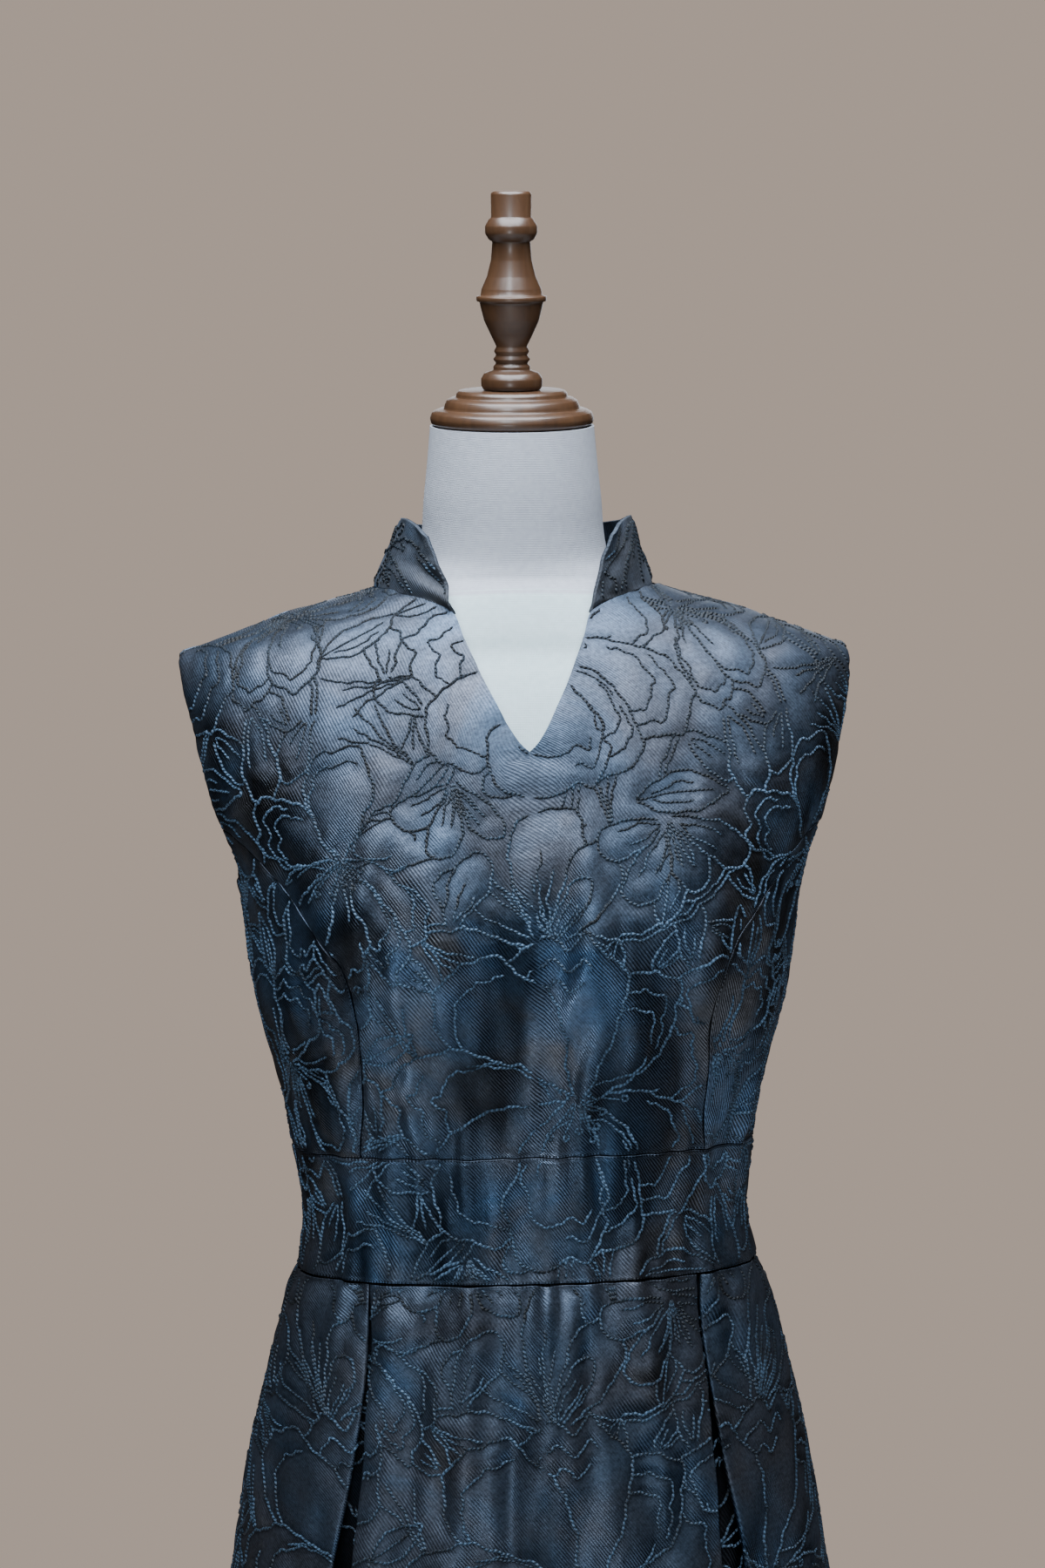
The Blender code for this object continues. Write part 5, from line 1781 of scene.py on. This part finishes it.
def build_form():
    """The linen-covered torso and neck, with the rings of the part and smooth curves between them."""
    width_ease, depth_ease = smooth(FORM_EASE, 1), smooth(FORM_EASE, 2)
    share = np.linspace(-1, 1, 129)
    rings = []
    for height in FORM_HEIGHTS:
        level = np.full(len(share), height)
        side = np.sin(math.pi * share)[:, None] ** 2
        ease = width_ease(height) * side + depth_ease(height) * (1 - side)
        way = outward(share, level)
        if height < WAISTBAND_BOTTOM:
            way = unit(way * (1, 1, 0))
        rings.append(outside(share, level) - way * ease)
    for height, half_width, front, back, tilt in NECK_SECTIONS:
        angle = math.pi * share
        y = -(back + front) / 2 * np.cos(angle)
        lift = y * math.tan(math.radians(tilt))
        rings.append(np.stack([half_width * np.sin(angle), y + (back - front) / 2, height + lift], axis=1))
    points = curved(np.array(rings), 4)
    points[:, -1] = points[:, 0]
    seam_row = (len(FORM_HEIGHTS) - 1) * 4 + 1
    closed = np.concatenate([points[:1] * (0.02, 0.02, 1), points, points[-1:] * (0.02, 0.02, 1)])
    closed[-1, :, 1] += points[-1, :, 1].mean()
    closed[-1, :, 2] = points[-1, :, 2].mean()
    made, index = welded("form_cover", closed.reshape(-1, 3), grid_quads(*closed.shape[:2]), 1e7)
    made.data.set_sharp_from_angle(angle=math.radians(50))
    # the neck is marked for its painted shade in the linen material
    add_values(made, "neck", np.repeat(np.arange(len(closed)) >= seam_row, closed.shape[1])[index])
    made.data.materials.append(LINEN)
    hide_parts("form_torso")
    normals = normals_of(points)[seam_row]
    kit = CordMaker()
    kit.strips(points[seam_row] - normals * 0.0005, normals, np.full(len(normals), 0.9))
    kit.finish("form_neck_seam", LINEN)


def build_wood():
    up = Vector((0, -math.sin(NECK_TILT), math.cos(NECK_TILT)))
    cap_foot = NECK_TOP + up * SEAT_GAP
    turned("neck_cap", CAP_PROFILE, cap_foot, NECK_TILT)
    turned("neck_finial", FINIAL_PROFILE, cap_foot + up * (CAP_PROFILE[-1][0] + SEAT_GAP), NECK_TILT)
    turned("stand_base", BASE_PROFILE, (0, 0, 0), 0, 128)
    foot = BASE_PROFILE[-1][0] + SEAT_GAP
    stretch = (PLATE_FOOT - SEAT_GAP - foot) / POLE_PROFILE[-1][0]
    turned("stand_pole", [(h * stretch, r) for h, r in POLE_PROFILE], (0, 0, foot))
    plate = ((0, PLATE_RADIUS - 0.002), (0.002, PLATE_RADIUS), (PLATE_THICKNESS, PLATE_RADIUS))
    turned("stand_plate", plate, (0, 0, PLATE_FOOT))


build_bodice()
build_waistband()
build_collar()
build_skirt()
build_form()
build_wood()
for key, kit in cords.items():
    kit.finish("cords_" + key, CORD)


# Floor, light and camera

FLOOR_SIZE = 4.4
# Name, place, what it points at, size, power in watts, and colour
LIGHTS = (
    ("top", (-0.04, -0.44, 2.4), (0, -0.05, 1.25), (1.3, 0.95), 74, (0.86, 0.92, 1.0)),
    ("front", (-0.3, -1.6, 2.35), (0, 0, 1.1), (0.4, 0.4), 15, (0.80, 0.91, 1.0)),
    ("low", (-0.45, -2.3, 0.62), (0, 0, 1.15), (0.3, 0.45), 12, (0.88, 0.94, 1.0)),
    ("behind", (0.5, 2.8, 2.3), (0, 0, 1.0), (1.6, 1.2), 14, (0.88, 0.93, 1.0)),
    ("left", (-2.2, 0.2, 1.7), (0, 0, 1.2), (0.4, 1.8), 0.5, (1.0, 0.78, 0.55)),
    ("right", (2.2, 0.2, 1.6), (0, 0, 1.1), (0.4, 1.8), 1.5, (1.0, 0.82, 0.66)),
)


def build_stage():
    mesh = bpy.data.meshes.new("studio_floor")
    half = FLOOR_SIZE / 2
    corners = [(-half, -half, 0), (half, -half, 0), (half, half, 0), (-half, half, 0)]
    mesh.from_pydata(corners, [], [(0, 1, 2, 3)])
    ground = bpy.data.objects.new("studio_floor", mesh)
    bpy.context.scene.collection.objects.link(ground)
    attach(ground, "root")
    mesh.materials.append(Shader("pale_floor").finish(Base_Color=(0.86, 0.86, 0.87), Roughness=0.9))


def area_light(name, place, aim, size, power, colour):
    light = bpy.data.lights.new(name, "AREA")
    light.shape = "RECTANGLE"
    light.size, light.size_y = size
    light.energy = power
    light.color = colour
    made = bpy.data.objects.new(name, light)
    made.location = place
    made.rotation_mode = "QUATERNION"
    made.rotation_quaternion = (Vector(aim) - Vector(place)).to_track_quat("-Z", "Y")
    bpy.context.scene.collection.objects.link(made)


def build_camera():
    """The photo's camera, a little to the -X side and level, with its slight roll."""
    target = Vector((0.0032, 0, 1.287))
    azimuth, distance, shown_height = math.radians(-4), 1.85, 0.954
    way = Vector((math.sin(azimuth), -math.cos(azimuth), 0))
    camera = bpy.data.cameras.new("camera")
    camera.sensor_fit = "VERTICAL"
    camera.sensor_height = 36
    camera.lens = 36 * distance / shown_height
    made = bpy.data.objects.new("camera", camera)
    made.location = target + way * distance
    made.rotation_mode = "QUATERNION"
    roll = Quaternion((0, 0, 1), math.radians(-1.03))
    made.rotation_quaternion = (-way).to_track_quat("-Z", "Y") @ roll
    bpy.context.scene.collection.objects.link(made)
    bpy.context.scene.camera = made


def build_world():
    """A plain warm backdrop that lights the object less than it shows."""
    world = bpy.data.worlds.new("studio")
    world.use_nodes = True
    tree = world.node_tree
    ground = tree.nodes["Background"]
    ground.inputs[0].default_value = (0.50, 0.41, 0.345, 1)
    seen = Wire(tree, tree.nodes.new("ShaderNodeLightPath").outputs["Is Camera Ray"])
    feed(tree, seen * 0.83 + 0.05, ground.inputs[1])
    bpy.context.scene.world = world


build_stage()
build_camera()
build_world()
for row in LIGHTS:
    area_light(*row)
